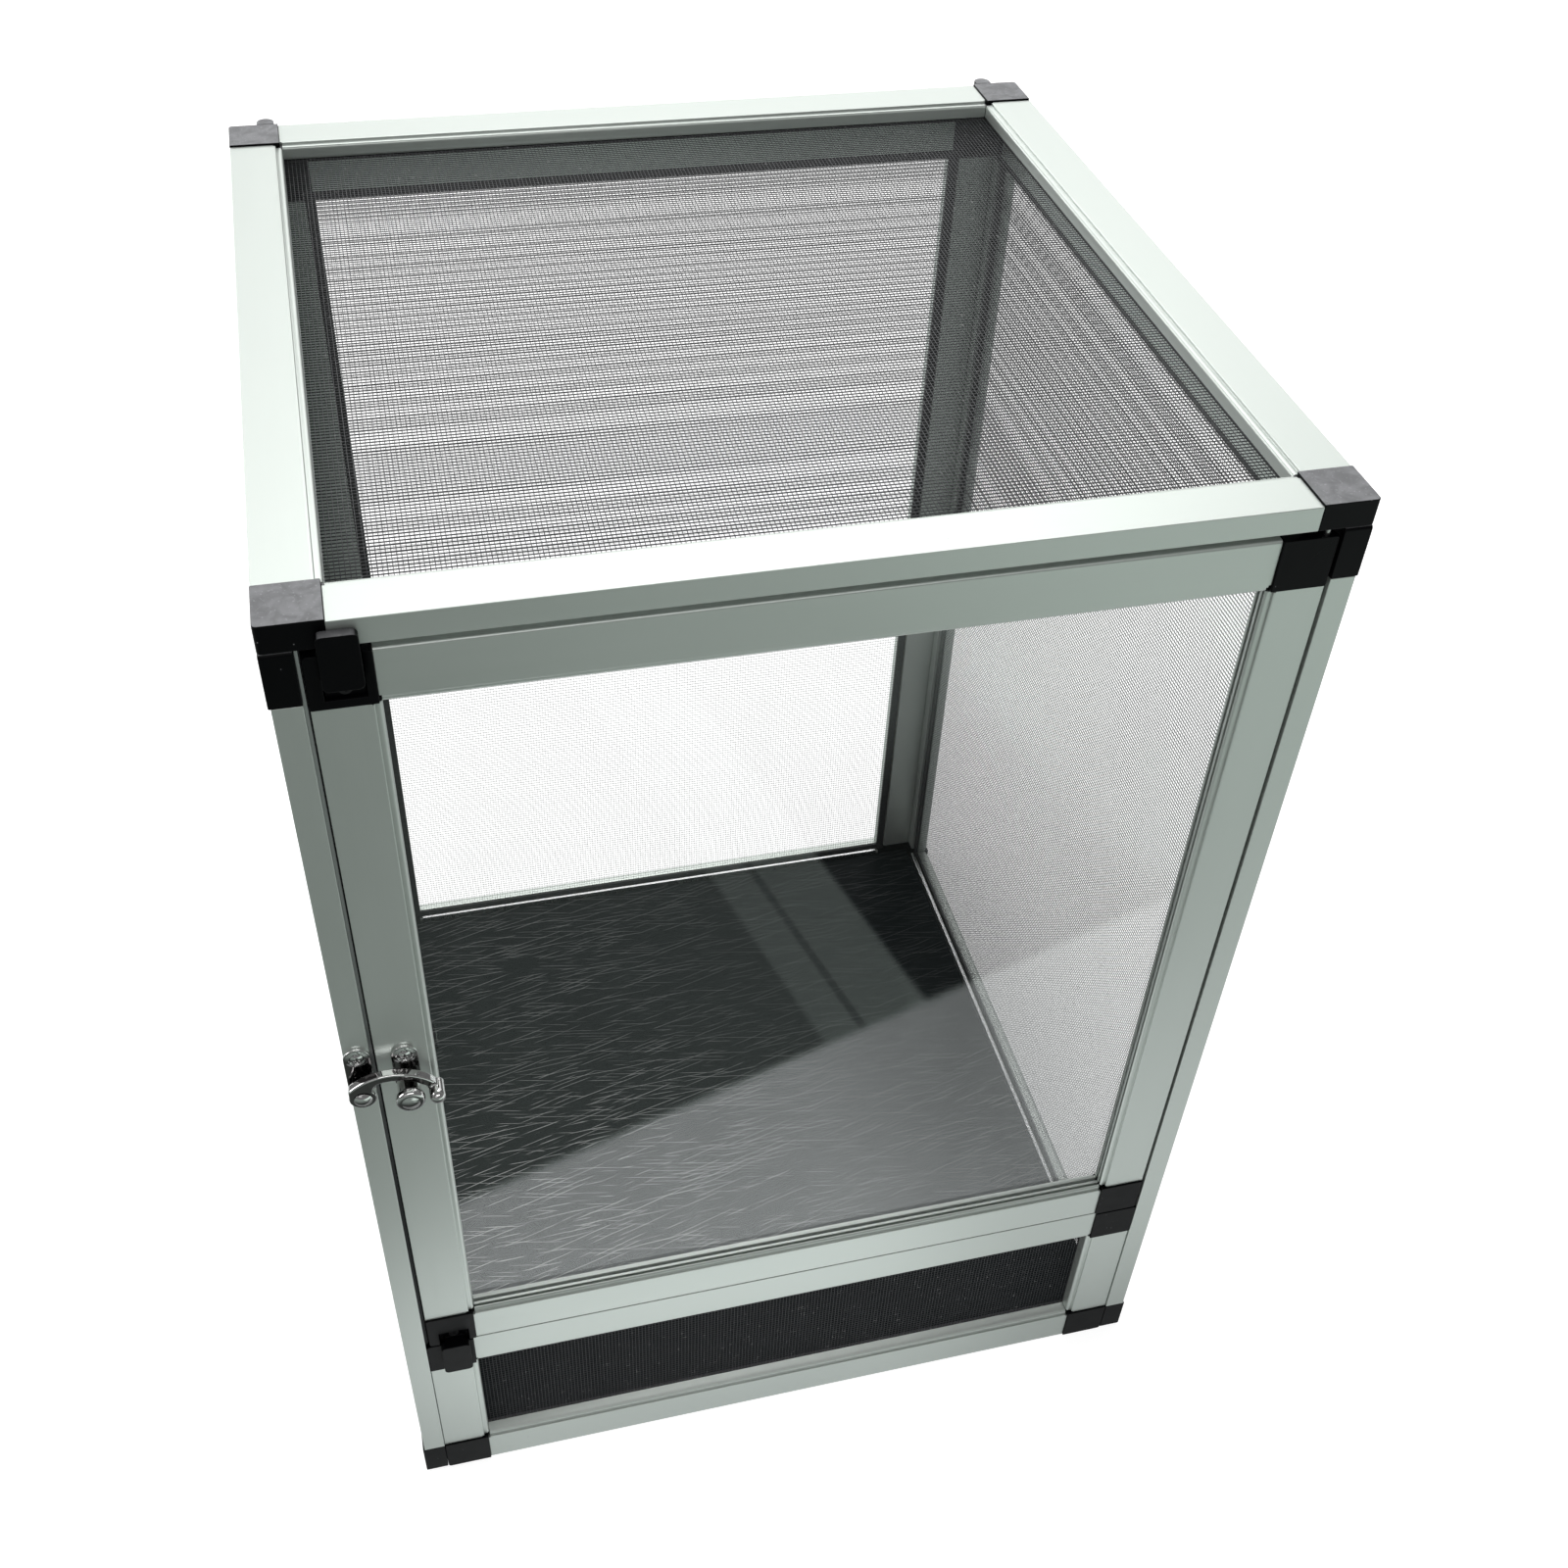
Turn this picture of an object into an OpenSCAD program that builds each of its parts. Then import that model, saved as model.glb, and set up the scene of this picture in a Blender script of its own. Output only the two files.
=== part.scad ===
// Reptile terrarium: a knock-down aluminium cage with woven mesh panels and a glazed front door.
// X runs to the right, Y to the back and Z up. The origin is the middle of the base, on the floor.
//
// Every panel is a frame of hollow bars plugged onto plastic corner pieces. A panel is drawn lying
// down: x along its width, y along its height and z from its inner face to its outer face. The
// on_... modules then stand it in its place.

/* [Cabinet] */
// Width over the side panels
cabinet_w = 350; // [300:1:450]
// Depth over the front and back panels
cabinet_d = 350; // [300:1:450]
// Height over the top frame
cabinet_h = 500; // [420:1:620]
// Height of the fixed mesh panel below the door
lower_panel_h = 108; // [90:1:140]
// Gap between neighbouring panels
panel_gap = 0.2; // [0.2:0.1:1]

/* [Frame bars] */
// Side of a square corner piece
corner_w = 20; // [19:0.5:24]
// Thickness of a corner piece, which is the thickness of a panel
panel_t = 10; // [9.6:0.1:12]
// How far the corner pieces stand proud of the bars' faces
corner_proud = 0.8; // [0.2:0.1:1]
// Radius of a corner piece's outer edge
corner_r = 1.5; // [0.5:0.1:3]
// How far a bar's bead stands past the corner pieces
bead_over = 0.8; // [0.4:0.1:1.5]
// Width of the bead along a bar's inner edge
bead_w = 2.5; // [2:0.1:3]
// How far the bead lies below the bar's face
bead_drop = 1; // [0.5:0.1:1.3]
// Wall of a hollow bar
bar_wall = 1.2; // [0.8:0.1:1.5]
// Length of a corner piece's legs, inside the bars
leg_l = 22; // [15:1:30]
// Clearance around a leg, inside a bar
leg_fit = 0.1; // [0.05:0.01:0.2]

/* [Mesh and spline] */
// Thickness of the woven mesh
mesh_t = 0.4; // [0.3:0.1:0.6]
// Width of the step that holds mesh and spline
rebate_w = 4.4; // [4:0.1:5]
// Depth of that step, from the bar's inner face
rebate_d = 2.9; // [2.4:0.1:3.4]
// How far the mesh reaches under the spline
mesh_grip = 2.4; // [1:0.1:3]
// Number of openings along a panel's longer side, in the plain grid that stands for the weave
grid_count = 12; // [4:1:12]
// Width of the grid's bars
grid_bar = 4.6; // [2:0.1:8]
// Clearance between the spline and the step's edges
spline_fit = 0.2; // [0.1:0.05:0.4]
// Thickness of the flat spline, which lies against the mesh
spline_t = 0.8; // [0.5:0.1:1.7]

/* [Door] */
// Gap between the door and the hinge-side post
hinge_gap = 1; // [0.8:0.1:1.5]
// Gap between the door and the latch-side post, where the stop strip sits
latch_gap = 1.7; // [1.6:0.1:2.5]
// Gap above the door, under the top frame
door_top_gap = 2.8; // [1:0.1:5]
// Gap between the door and the panel below it
door_bottom_gap = 0.6; // [0.4:0.1:2]
// Radius of the door's outer front edge on the hinge side
door_edge_r = 0.8; // [0.4:0.1:0.8]
// Radius of the upper rail's top front edge
door_top_r = 1.2; // [0.3:0.1:1.4]
// Thickness of the clear pane
pane_t = 1.2; // [1:0.1:1.5]
// Clearance of the pane in its groove, on each side
pane_fit = 0.1; // [0.05:0.05:0.2]
// Depth of the pane's groove, measured from the ribs' edge
pane_grip = 4; // [2.5:0.1:4.2]
// Thickness of the front rib along the door bars' inner edge
front_rib_t = 1.9; // [1.5:0.1:2]
// Thickness of the two ribs behind it
rib_t = 1.3; // [1:0.1:1.4]
// Width of the open groove between the front rib and the middle rib
rib_groove = 1; // [0.8:0.1:1]
// Depth of that open groove
rib_groove_d = 2.5; // [1:0.1:3]
// Thickness of the stop strip on the latch-side post
strip_t = 1.1; // [0.8:0.1:1.2]
// How far the stop strip's front edge lies behind the corner pieces' faces
strip_inset = 1.6; // [0.8:0.1:3]
// How far the stop strip reaches behind the door
strip_reach = 7; // [4:0.5:12]

/* [Hinge] */
// Radius of the hinge pins
pin_r = 1.25; // [1:0.05:1.3]
// Distance from the pin's axis to the door's hinge-side edge
pin_inset = 4; // [3.5:0.1:5]
// Distance from the pin's axis to the door's front face
pin_depth = 2.5; // [2.3:0.1:2.6]
// Length of a pin's ends in the door and in the frame
pin_grip = 8; // [5:0.5:8.5]
// Running clearance of the pins in the door, on the radius
pin_fit = 0.05; // [0.02:0.01:0.1]

/* [Floor] */
// Thickness of the floor board
board_t = 4; // [3:0.5:6]
// Height of the floor board's top
board_top = 16; // [13:0.5:20]
// Thickness of the ledge angles that carry the board
ledge_t = 1.6; // [1.5:0.1:2.5]
// Width of a ledge angle's flat leg
ledge_reach = 10; // [6:0.5:16]
// How far the rear ledge stands above the board
ledge_rise = 2.6; // [0.5:0.1:4]
// How far the side ledges stand above the board
side_rise = 4.6; // [0.5:0.1:5]
// How far the front ledge's leg hangs down below its flat leg
ledge_drop = 4; // [2:0.5:4]
// Distance from the ends of the front and rear ledges' legs to the side panels
ledge_end = 22; // [12:0.5:30]
// Clearance around the board
board_fit = 0.3; // [0.2:0.1:1]

/* [Joining pegs and clips] */
// Radius of the pegs between the panels
peg_r = 1.5; // [1:0.1:1.8]
// Length of a peg
peg_l = 14; // [10:0.5:16]
// Distance from a corner piece's inner end to the sideways pegs
peg_inset = 5; // [4:0.1:7]
// Radius of a rear lug, seen from above
lug_r = 3.5; // [2.5:0.1:5]
// How far a rear lug stands out behind
lug_out = 6; // [5:0.1:8]
// Height of a rear lug
lug_h = 20; // [18:1:24]
// Distance from a rear lug's axis to the side of the cabinet
lug_side = 15; // [14:0.1:16]

/* [Stop clips] */
// Width of a stop clip
clip_w = 12.2; // [8:0.1:12.5]
// Length of a stop clip's tongue
clip_l = 20; // [18:0.5:20.5]
// Thickness of the tongue
clip_t = 3.6; // [3:0.1:5]
// Radius of the tongue's corners
clip_r = 2; // [1:0.1:3]
// Distance from the cabinet's side to the middle of the clips
clip_side = 22.5; // [20.5:0.1:23]
// How far the upper tongue lies on the door
upper_clip_hold = 10.7; // [10:0.1:12]
// How far the lower tongue lies on the door
lower_clip_hold = 2.4; // [2:0.1:4]
// Length of a clip's foot, past the tongue
foot_l = 6; // [5:0.1:7]
// Thickness of a clip's foot
foot_t = 1.6; // [1.2:0.1:2]
// Depth of the pocket in the door's corner pieces
pocket_d = 3.4; // [2.8:0.1:4]
// Clearance of a clip in its pocket, on each side
pocket_fit = 0.1; // [0.05:0.05:0.2]
// Clearance between moving faces
face_gap = 0.3; // [0.2:0.05:0.5]

/* [Hook latch] */
// Height of the latch's pivot and stud above the floor
latch_h = 292.5; // [180:0.5:340]
// Width of the post plate and the keeper plate
plate_w = 9.4; // [8:0.1:9.6]
// Thickness of both plates
plate_t = 1.2; // [0.8:0.1:1.5]
// Width of the flat rim around a plate's domed screw seat
dome_rim = 0.4; // [0.2:0.1:0.8]
// Distance from the hook's pivot up to the post plate's screw
post_screw_up = 16.6; // [15:0.1:20]
// Distance from the stud up to the keeper plate's screw
keeper_screw_up = 13.6; // [13:0.1:16]
// Distance from the hook's pivot to the stud
hook_reach = 16.4; // [15.5:0.1:17]
// Height of the arm's section
hook_bar = 3.4; // [2.4:0.1:4]
// Thickness of the arm, front to back
hook_t = 3.6; // [3:0.1:5]
// Radius of the hook's eye
eye_r = 4.9; // [4.2:0.1:5.2]
// Radius of the finger grip at the hook's tip
grip_r = 2.9; // [2.4:0.1:3.2]
// How far the grip stands out in front of the arm
grip_out = 2.7; // [2:0.1:5]
// Angle of the grip around the arm's bow, above level
grip_angle = 27; // [20:1:32]
// Radius of the hook's pivot
hook_pin_r = 2; // [1.5:0.05:2.2]
// Running clearance of the hook on its pivot, on the radius
hook_fit = 0.05; // [0.02:0.01:0.1]
// Radius of the stud's neck
neck_r = 4.2; // [3:0.1:4.4]
// Clearance between the closed hook and the stud's neck
neck_gap = 0.8; // [0.4:0.1:1]
// Radius of the stud's knob
knob_r = 5.2; // [5:0.1:6]
// Thickness of the stud's knob, without its dome
knob_t = 4; // [4:0.1:6]
// Radius of the knob's rounded rims
knob_round = 1.5; // [0.8:0.1:1.9]
// Height of the dome on the knob's front
knob_dome = 0.9; // [0.4:0.1:1.2]
// Length of neck that shows in front of the hook
neck_show = 1.2; // [0.6:0.1:3]
// Radius of the screws in the latch and the stop clips
screw_r = 1.25; // [1:0.05:1.4]
// Length of the latch's screws and shanks, behind the bars' faces
screw_l = 5.5; // [4:0.5:6]
// Length of a screw head's cross recess
recess_l = 2.4; // [1.8:0.1:2.8]
// Width of a screw head's cross recess
recess_w = 0.6; // [0.4:0.1:0.8]
// Depth of a screw head's cross recess
recess_d = 0.4; // [0.2:0.05:0.45]

/* [Hidden] */
$fn = 48;
// Extra length of a cutter, past the face it cuts
cut = 1;

// Bars
bar_t = panel_t - corner_proud;
bar_w = corner_w + bead_over;
cavity_end = bar_w - rebate_w - bar_wall;
bead_top = bar_t - bead_drop;

// Panels, as [width, height]
panel_h = cabinet_h - panel_t - panel_gap;
top_size = [cabinet_w, cabinet_d];
side_size = [cabinet_d, panel_h];
inner_w = cabinet_w - 2 * panel_t;
back_size = [inner_w - 2 * panel_gap, panel_h];
lower_size = [inner_w - 2 * panel_gap, lower_panel_h];
door_size = [
    inner_w - hinge_gap - latch_gap,
    cabinet_h - panel_t - door_top_gap - lower_panel_h - door_bottom_gap
];

// Faces and edges
side_x = cabinet_w / 2;
front_y = -cabinet_d / 2;
back_y = cabinet_d / 2;
inner_x = inner_w / 2;
inner_y = back_y - panel_t;
door_x = -inner_x + latch_gap;
door_z = lower_panel_h + door_bottom_gap;

// Door ribs, from the bar's face inwards: front rib, open groove, middle rib, pane groove, rear rib
groove_top = bar_t - front_rib_t;
groove_low = groove_top - rib_groove;
pane_slot = pane_t + 2 * pane_fit;
pane_top = groove_low - rib_t;
pane_low = pane_top - pane_slot;
rib_low = pane_low - rib_t;
rib_floor = bar_w - rib_groove_d;

// Hinge
hinge_x = inner_x - hinge_gap - pin_inset;
hinge_y = front_y + pin_depth;

// Stop clips
clip_x = -side_x + clip_side;
door_top = door_z + door_size[1];

// Hook latch
plate_x = -inner_x - plate_w / 2;
stud_x = plate_x + hook_reach;
hook_back = front_y - 2 * plate_t - face_gap;
hook_front = hook_back - hook_t;
dome_h = plate_t - face_gap;
// The arm is bowed around a centre below the line from pivot to stud, and clears the stud's neck
bow_x = 0.58 * hook_reach;
bow_z = -bow_x;
bow_in_r = norm([hook_reach - bow_x, bow_z]) + neck_r + neck_gap;
bow_out_r = bow_in_r + hook_bar;
grip_x = bow_x + (bow_in_r + hook_bar / 2) * cos(grip_angle);
grip_z = bow_z + (bow_in_r + hook_bar / 2) * sin(grip_angle);

ALU = [0.74, 0.77, 0.74];
BLACK = [0.13, 0.13, 0.14];
CHROME = [0.86, 0.87, 0.88];

// ---- Placing ----

module on_top() {
    translate([-side_x, front_y, cabinet_h - panel_t]) children();
}

module on_left() {
    translate([-inner_x, back_y, 0]) rotate([90, 0, -90]) children();
}

module on_right() {
    translate([inner_x, front_y, 0]) rotate([90, 0, 90]) children();
}

module on_back() {
    translate([back_size[0] / 2, inner_y, 0]) rotate([90, 0, 180]) children();
}

module on_vent() {
    translate([-lower_size[0] / 2, front_y + panel_t, 0]) rotate([90, 0, 0]) children();
}

module on_door() {
    translate([door_x, front_y + panel_t, door_z]) rotate([90, 0, 0]) children();
}

// Sets children that run along x, with y pointing inwards, on one edge of a panel
module on_edge(size, edge) {
    if (edge == "lower") children();
    if (edge == "upper") translate([0, size[1], 0]) mirror([0, 1, 0]) children();
    if (edge == "start") mirror([1, -1, 0]) children();
    if (edge == "end") translate([size[0], 0, 0]) mirror([1, 0, 0]) mirror([1, -1, 0]) children();
}

function edge_length(size, edge) = (edge == "lower" || edge == "upper") ? size[0] : size[1];

// Sets children in all four corners of a panel, each turned to face the middle
module in_corners(size) {
    for (i = [0, 1], j = [0, 1])
        translate([i * size[0], j * size[1], 0]) mirror([i, 0, 0]) mirror([0, j, 0]) children();
}

// ---- Bars, corner pieces, mesh and spline ----

// Outline of a bar with its bead: x from the outer edge inwards, y from the inner face outwards
module bar_outline() {
    bead_r = bead_w / 2;
    square([bar_w - bead_w, bar_t]);
    square([bar_w - bead_r, bead_top]);
    square([bar_w, bead_top - bead_r]);
    translate([bar_w - bead_r, bead_top - bead_r]) circle(bead_r);
}

// Section of a mesh panel's bar
module bar_section() {
    difference() {
        bar_outline();
        translate([bar_w - rebate_w, -cut]) square([rebate_w + cut, rebate_d + cut]);
        bar_cavity(0);
    }
}

// Section of a door bar: the same bar, with ribs along its inner edge that hold the pane
module door_bar_section() {
    difference() {
        bar_outline();
        translate([rib_floor, groove_low]) square([rib_groove_d + cut, rib_groove]);
        translate([bar_w - pane_grip, pane_low]) square([pane_grip + cut, pane_slot]);
        translate([bar_w - bead_w, -cut]) square([bead_w + cut, rib_low + cut]);
        bar_cavity(0);
    }
}

// The hollow of a bar, or with a clearance the leg that fills it
module bar_cavity(fit) {
    low = bar_wall + fit;
    translate([low, low]) square([cavity_end - low - fit, bar_t - bar_wall - fit - low]);
}

// A bar's length of a section, along x, between two corner pieces
module bar(size, edge, section = "mesh") {
    run = edge_length(size, edge) - 2 * corner_w;
    on_edge(size, edge) difference() {
        translate([corner_w, 0, 0]) rotate([90, 0, 90]) linear_extrude(run)
            if (section == "door") door_bar_section(); else bar_section();
        // Room for the corner pieces' lugs
        for (x = [corner_w, corner_w + run]) translate([x, bar_w, bar_t / 2])
            cube([2 * bead_over, 2 * (bead_w + bead_over), 2 * bar_t], center = true);
    }
}

// The square block of a corner piece, with its outer edge rounded
module corner_block() {
    linear_extrude(panel_t) {
        translate([corner_r, 0]) square([corner_w - corner_r, corner_w]);
        translate([0, corner_r]) square([corner_w, corner_w - corner_r]);
        translate([corner_r, corner_r]) circle(corner_r);
    }
}

// A corner piece: the block, a lug where two beads meet, and a leg into each bar
module corner_piece() {
    lug_side = bead_w + bead_over;
    lug_at = corner_w + bead_over - lug_side;
    corner_block();
    translate([lug_at, lug_at, 0]) cube([lug_side, lug_side, bead_top - bead_drop / 2]);
    for (swap = [0, 1]) mirror([swap, -swap, 0])
        translate([corner_w - cut, 0, 0]) rotate([90, 0, 90]) linear_extrude(leg_l + cut)
            bar_cavity(leg_fit);
}

module mesh_corners(size) {
    in_corners(size) difference() {
        corner_piece();
        translate([bar_w - rebate_w, bar_w - rebate_w, -cut])
            cube([rebate_w + cut, rebate_w + cut, rebate_d + cut]);
    }
}

module door_corner_pieces() {
    slot_at = bar_w - pane_grip;
    in_corners(door_size) difference() {
        corner_piece();
        translate([slot_at, slot_at, pane_low]) cube([pane_grip + cut, pane_grip + cut, pane_slot]);
        translate([bar_w - bead_w, bar_w - bead_w, -cut])
            cube([bead_w + cut, bead_w + cut, rib_low + cut]);
    }
}

// A panel's mesh, with a plain grid of openings in place of the much finer weave
module mesh_sheet(size) {
    edge = bar_w - mesh_grip;
    seen = [size[0] - 2 * bar_w, size[1] - 2 * bar_w];
    counts = [for (side = seen) max(1, round(grid_count * side / max(seen)))];
    cell = [seen[0] / counts[0], seen[1] / counts[1]];
    translate([0, 0, rebate_d - mesh_t]) linear_extrude(mesh_t) difference() {
        translate([edge, edge]) square([size[0] - 2 * edge, size[1] - 2 * edge]);
        for (i = [1:counts[0]], j = [1:counts[1]])
            translate([bar_w + (i - 0.5) * cell[0], bar_w + (j - 0.5) * cell[1]])
                square([cell[0] - grid_bar, cell[1] - grid_bar], center = true);
    }
}

// Four strips of spline in a panel's step; the upright ones stand between the level ones
module spline_strips(size) {
    start = bar_w - rebate_w + spline_fit;
    wide = rebate_w - 2 * spline_fit;
    low = rebate_d - mesh_t - spline_t;
    for (edge = ["lower", "upper"]) on_edge(size, edge)
        translate([start, start, low]) cube([size[0] - 2 * start, wide, spline_t]);
    first = start + wide + spline_fit;
    for (edge = ["start", "end"]) on_edge(size, edge)
        translate([first, start, low]) cube([size[1] - 2 * first, wide, spline_t]);
}

// ---- Pegs, pins and clips ----

// Places of the upright pegs between the top frame and the side panels
module at_top_pegs() {
    for (i = [-1, 1], j = [-1, 1])
        translate([i * (side_x - panel_t / 2), j * (back_y - corner_w / 2), cabinet_h - panel_t])
            children();
}

// Places of the level pegs between the side panels and the back and vent panels
module at_side_pegs() {
    for (i = [-1, 1]) {
        for (z = [corner_w - peg_inset, panel_h - corner_w + peg_inset])
            translate([i * inner_x, back_y - panel_t / 2, z]) rotate([0, 90, 0]) children();
        for (z = [corner_w - peg_inset, lower_panel_h - corner_w + peg_inset])
            translate([i * inner_x, front_y + panel_t / 2, z]) rotate([0, 90, 0]) children();
    }
}

module peg_shapes() {
    at_top_pegs() cylinder(r = peg_r, h = peg_l, center = true);
    at_side_pegs() cylinder(r = peg_r, h = peg_l, center = true);
}

// The hinge pins stand half in the door and half in the frame. The door's bores run deeper.
module hinge_pin_shapes(fit = 0, deeper = 0) {
    lower_h = door_bottom_gap + 2 * pin_grip + deeper;
    upper_h = door_top_gap + 2 * pin_grip + deeper;
    for (pin = [
        [lower_panel_h - pin_grip, lower_h],
        [cabinet_h - panel_t + pin_grip - upper_h, upper_h]
    ])
        translate([hinge_x, hinge_y, pin[0]]) cylinder(r = pin_r + fit, h = pin[1]);
}

// Stems that hold a rear lug to the top frame and to the back panel
module rear_lug_stems() {
    for (i = [-1, 1], z = [cabinet_h - panel_t / 2, panel_h - corner_w + 3 * peg_inset])
        translate([i * (side_x - lug_side), back_y, z]) rotate([90, 0, 0])
            cylinder(r = peg_r, h = peg_l / 2);
}

// A round-nosed block behind each upper rear corner
module rear_lug_shapes() {
    flat = lug_out - lug_r;
    for (i = [-1, 1]) translate([i * (side_x - lug_side), back_y, cabinet_h - lug_h])
        linear_extrude(lug_h) intersection() {
            union() {
                translate([-lug_r, 0]) square([2 * lug_r, flat]);
                translate([0, flat]) circle(lug_r);
            }
            translate([-lug_r - cut, 0]) square([2 * (lug_r + cut), lug_out + cut]);
        }
    rear_lug_stems();
}

// ---- Top frame ----

module top_front_rail() {
    color(ALU) on_top() bar(top_size, "lower");
}

module top_rear_rail() { color(ALU) on_top() bar(top_size, "upper"); }
module top_left_rail() { color(ALU) on_top() bar(top_size, "start"); }
module top_right_rail() { color(ALU) on_top() bar(top_size, "end"); }

module top_corners() {
    color(BLACK) difference() {
        on_top() mesh_corners(top_size);
        peg_shapes();
        hinge_pin_shapes();
        rear_lug_stems();
    }
}

module top_mesh() { color(BLACK) on_top() mesh_sheet(top_size); }
module top_spline() { color(BLACK) on_top() spline_strips(top_size); }

// ---- Side panels ----

module left_front_post() {
    color(ALU) difference() {
        on_left() bar(side_size, "end");
        peg_shapes();
        post_bores();
    }
}

module left_rear_post() { color(ALU) on_left() bar(side_size, "start"); }
module left_upper_rail() { color(ALU) on_left() bar(side_size, "upper"); }
module left_lower_rail() { color(ALU) on_left() bar(side_size, "lower"); }

module left_corners() {
    color(BLACK) difference() {
        on_left() mesh_corners(side_size);
        peg_shapes();
    }
}

module left_mesh() { color(BLACK) on_left() mesh_sheet(side_size); }
module left_spline() { color(BLACK) on_left() spline_strips(side_size); }

module right_front_post() {
    color(ALU) difference() {
        on_right() bar(side_size, "start");
        peg_shapes();
    }
}

module right_rear_post() { color(ALU) on_right() bar(side_size, "end"); }
module right_upper_rail() { color(ALU) on_right() bar(side_size, "upper"); }
module right_lower_rail() { color(ALU) on_right() bar(side_size, "lower"); }

module right_corners() {
    color(BLACK) difference() {
        on_right() mesh_corners(side_size);
        peg_shapes();
    }
}

module right_mesh() { color(BLACK) on_right() mesh_sheet(side_size); }
module right_spline() { color(BLACK) on_right() spline_strips(side_size); }

// ---- Back panel ----

module back_left_stile() { color(ALU) on_back() bar(back_size, "end"); }
module back_right_stile() { color(ALU) on_back() bar(back_size, "start"); }
module back_upper_rail() { color(ALU) on_back() bar(back_size, "upper"); }
module back_lower_rail() { color(ALU) on_back() bar(back_size, "lower"); }

module back_corners() {
    color(BLACK) difference() {
        on_back() mesh_corners(back_size);
        peg_shapes();
        rear_lug_stems();
    }
}

module back_mesh() { color(BLACK) on_back() mesh_sheet(back_size); }
module back_spline() { color(BLACK) on_back() spline_strips(back_size); }

// ---- Vent panel below the door ----

module vent_left_stile() { color(ALU) on_vent() bar(lower_size, "start"); }
module vent_right_stile() { color(ALU) on_vent() bar(lower_size, "end"); }
module vent_upper_rail() { color(ALU) on_vent() bar(lower_size, "upper"); }
module vent_lower_rail() { color(ALU) on_vent() bar(lower_size, "lower"); }

module vent_corners() {
    color(BLACK) difference() {
        on_vent() mesh_corners(lower_size);
        peg_shapes();
        hinge_pin_shapes();
    }
}

module vent_mesh() { color(BLACK) on_vent() mesh_sheet(lower_size); }
module vent_spline() { color(BLACK) on_vent() spline_strips(lower_size); }

// ---- Floor ----

module floor_board() {
    inset = ledge_t + board_fit;
    color(BLACK) translate([-inner_x + inset, -inner_y + board_fit, board_top - board_t])
        cube([2 * (inner_x - inset), 2 * inner_y - board_fit - inset, board_t]);
}

// An angle along x, with its flat leg at the bottom and the other leg on the plane y = 0
module ledge_angle(length, leg_l, low, high) {
    translate([-length / 2, 0, 0]) cube([length, ledge_reach, ledge_t]);
    translate([-leg_l / 2, 0, low]) cube([leg_l, ledge_t, high - low]);
}

// Four angles around the floor. The front one's leg hangs down, so that the board reaches the
// vent panel. The legs of the front and rear ones stop before the corner pieces.
module floor_ledges() {
    long_l = 2 * inner_x;
    leg_l = long_l - 2 * ledge_end;
    side_l = 2 * (inner_y - ledge_reach - board_fit);
    top = ledge_t + board_t;
    color(ALU) translate([0, 0, board_top - top]) {
        translate([0, -inner_y, 0]) ledge_angle(long_l, leg_l, -ledge_drop, ledge_t);
        rotate(180) translate([0, -inner_y, 0]) ledge_angle(long_l, leg_l, 0, top + ledge_rise);
        for (turn = [90, -90]) rotate(turn) translate([0, -inner_x, 0])
            ledge_angle(side_l, side_l, 0, top + side_rise);
    }
}

module panel_pegs() { color(BLACK) peg_shapes(); }
module rear_lugs() { color(BLACK) rear_lug_shapes(); }

// ---- Door ----

// An angle on the latch-side post: one leg shows in the gap, the other stops the door from behind
module door_stop_strip() {
    low = lower_panel_h + door_bottom_gap;
    tall = panel_h - low;
    deep = panel_t + face_gap + strip_t - strip_inset;
    color(ALU) translate([-inner_x, front_y + strip_inset, low]) {
        cube([strip_t, deep, tall]);
        translate([0, deep - strip_t, 0]) cube([latch_gap + strip_reach, strip_t, tall]);
    }
}

module door_left_stile() {
    color(ALU) difference() {
        on_door() bar(door_size, "start", "door");
        keeper_bores();
    }
}

module door_right_stile() {
    color(ALU) difference() {
        on_door() bar(door_size, "end", "door");
        door_edge_cut();
    }
}

module door_upper_rail() {
    color(ALU) difference() {
        on_door() bar(door_size, "upper", "door");
        door_top_cut();
    }
}

module door_lower_rail() { color(ALU) on_door() bar(door_size, "lower", "door"); }

module door_corners() {
    color(BLACK) difference() {
        on_door() door_corner_pieces();
        hinge_pin_shapes(pin_fit, face_gap);
        door_edge_cut();
        upper_clip_place() clip_pocket(upper_clip_hold);
        lower_clip_place() clip_pocket(lower_clip_hold);
    }
}

// A cutter along z that rounds an edge of a body which fills x < 0 and y > 0
module edge_cutter(r, length) {
    linear_extrude(length) difference() {
        translate([-r, -cut]) square([r + cut, r + cut]);
        translate([-r, r]) circle(r);
    }
}

// Rounds the door's front edge on the hinge side, so that it clears the post as it turns
module door_edge_cut() {
    translate([door_x + door_size[0], front_y, door_z - cut])
        edge_cutter(door_edge_r, door_size[1] + 2 * cut);
}

// Rounds the upper rail's top front edge
module door_top_cut() {
    translate([door_x + door_size[0], front_y + corner_proud, door_top]) rotate([0, -90, 0])
        edge_cutter(door_top_r, door_size[0]);
}

module door_pane() {
    edge = bar_w - pane_grip + pane_fit;
    color([0.8, 0.9, 0.95, 0.4]) on_door() translate([edge, edge, pane_low + pane_fit])
        cube([door_size[0] - 2 * edge, door_size[1] - 2 * edge, pane_t]);
}

module hinge_pins() { color(CHROME) hinge_pin_shapes(); }

// ---- Stop clips ----

// Puts the door's edge on the plane z = 0 and the door above it
module lower_clip_place() { translate([clip_x, front_y, door_z]) children(); }
module upper_clip_place() { translate([clip_x, front_y, door_top]) mirror([0, 0, 1]) children(); }

module clip_hole(r, depth) {
    rotate([90, 0, 0]) translate([0, 0, -depth]) cylinder(r = r, h = depth + cut);
}

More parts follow.
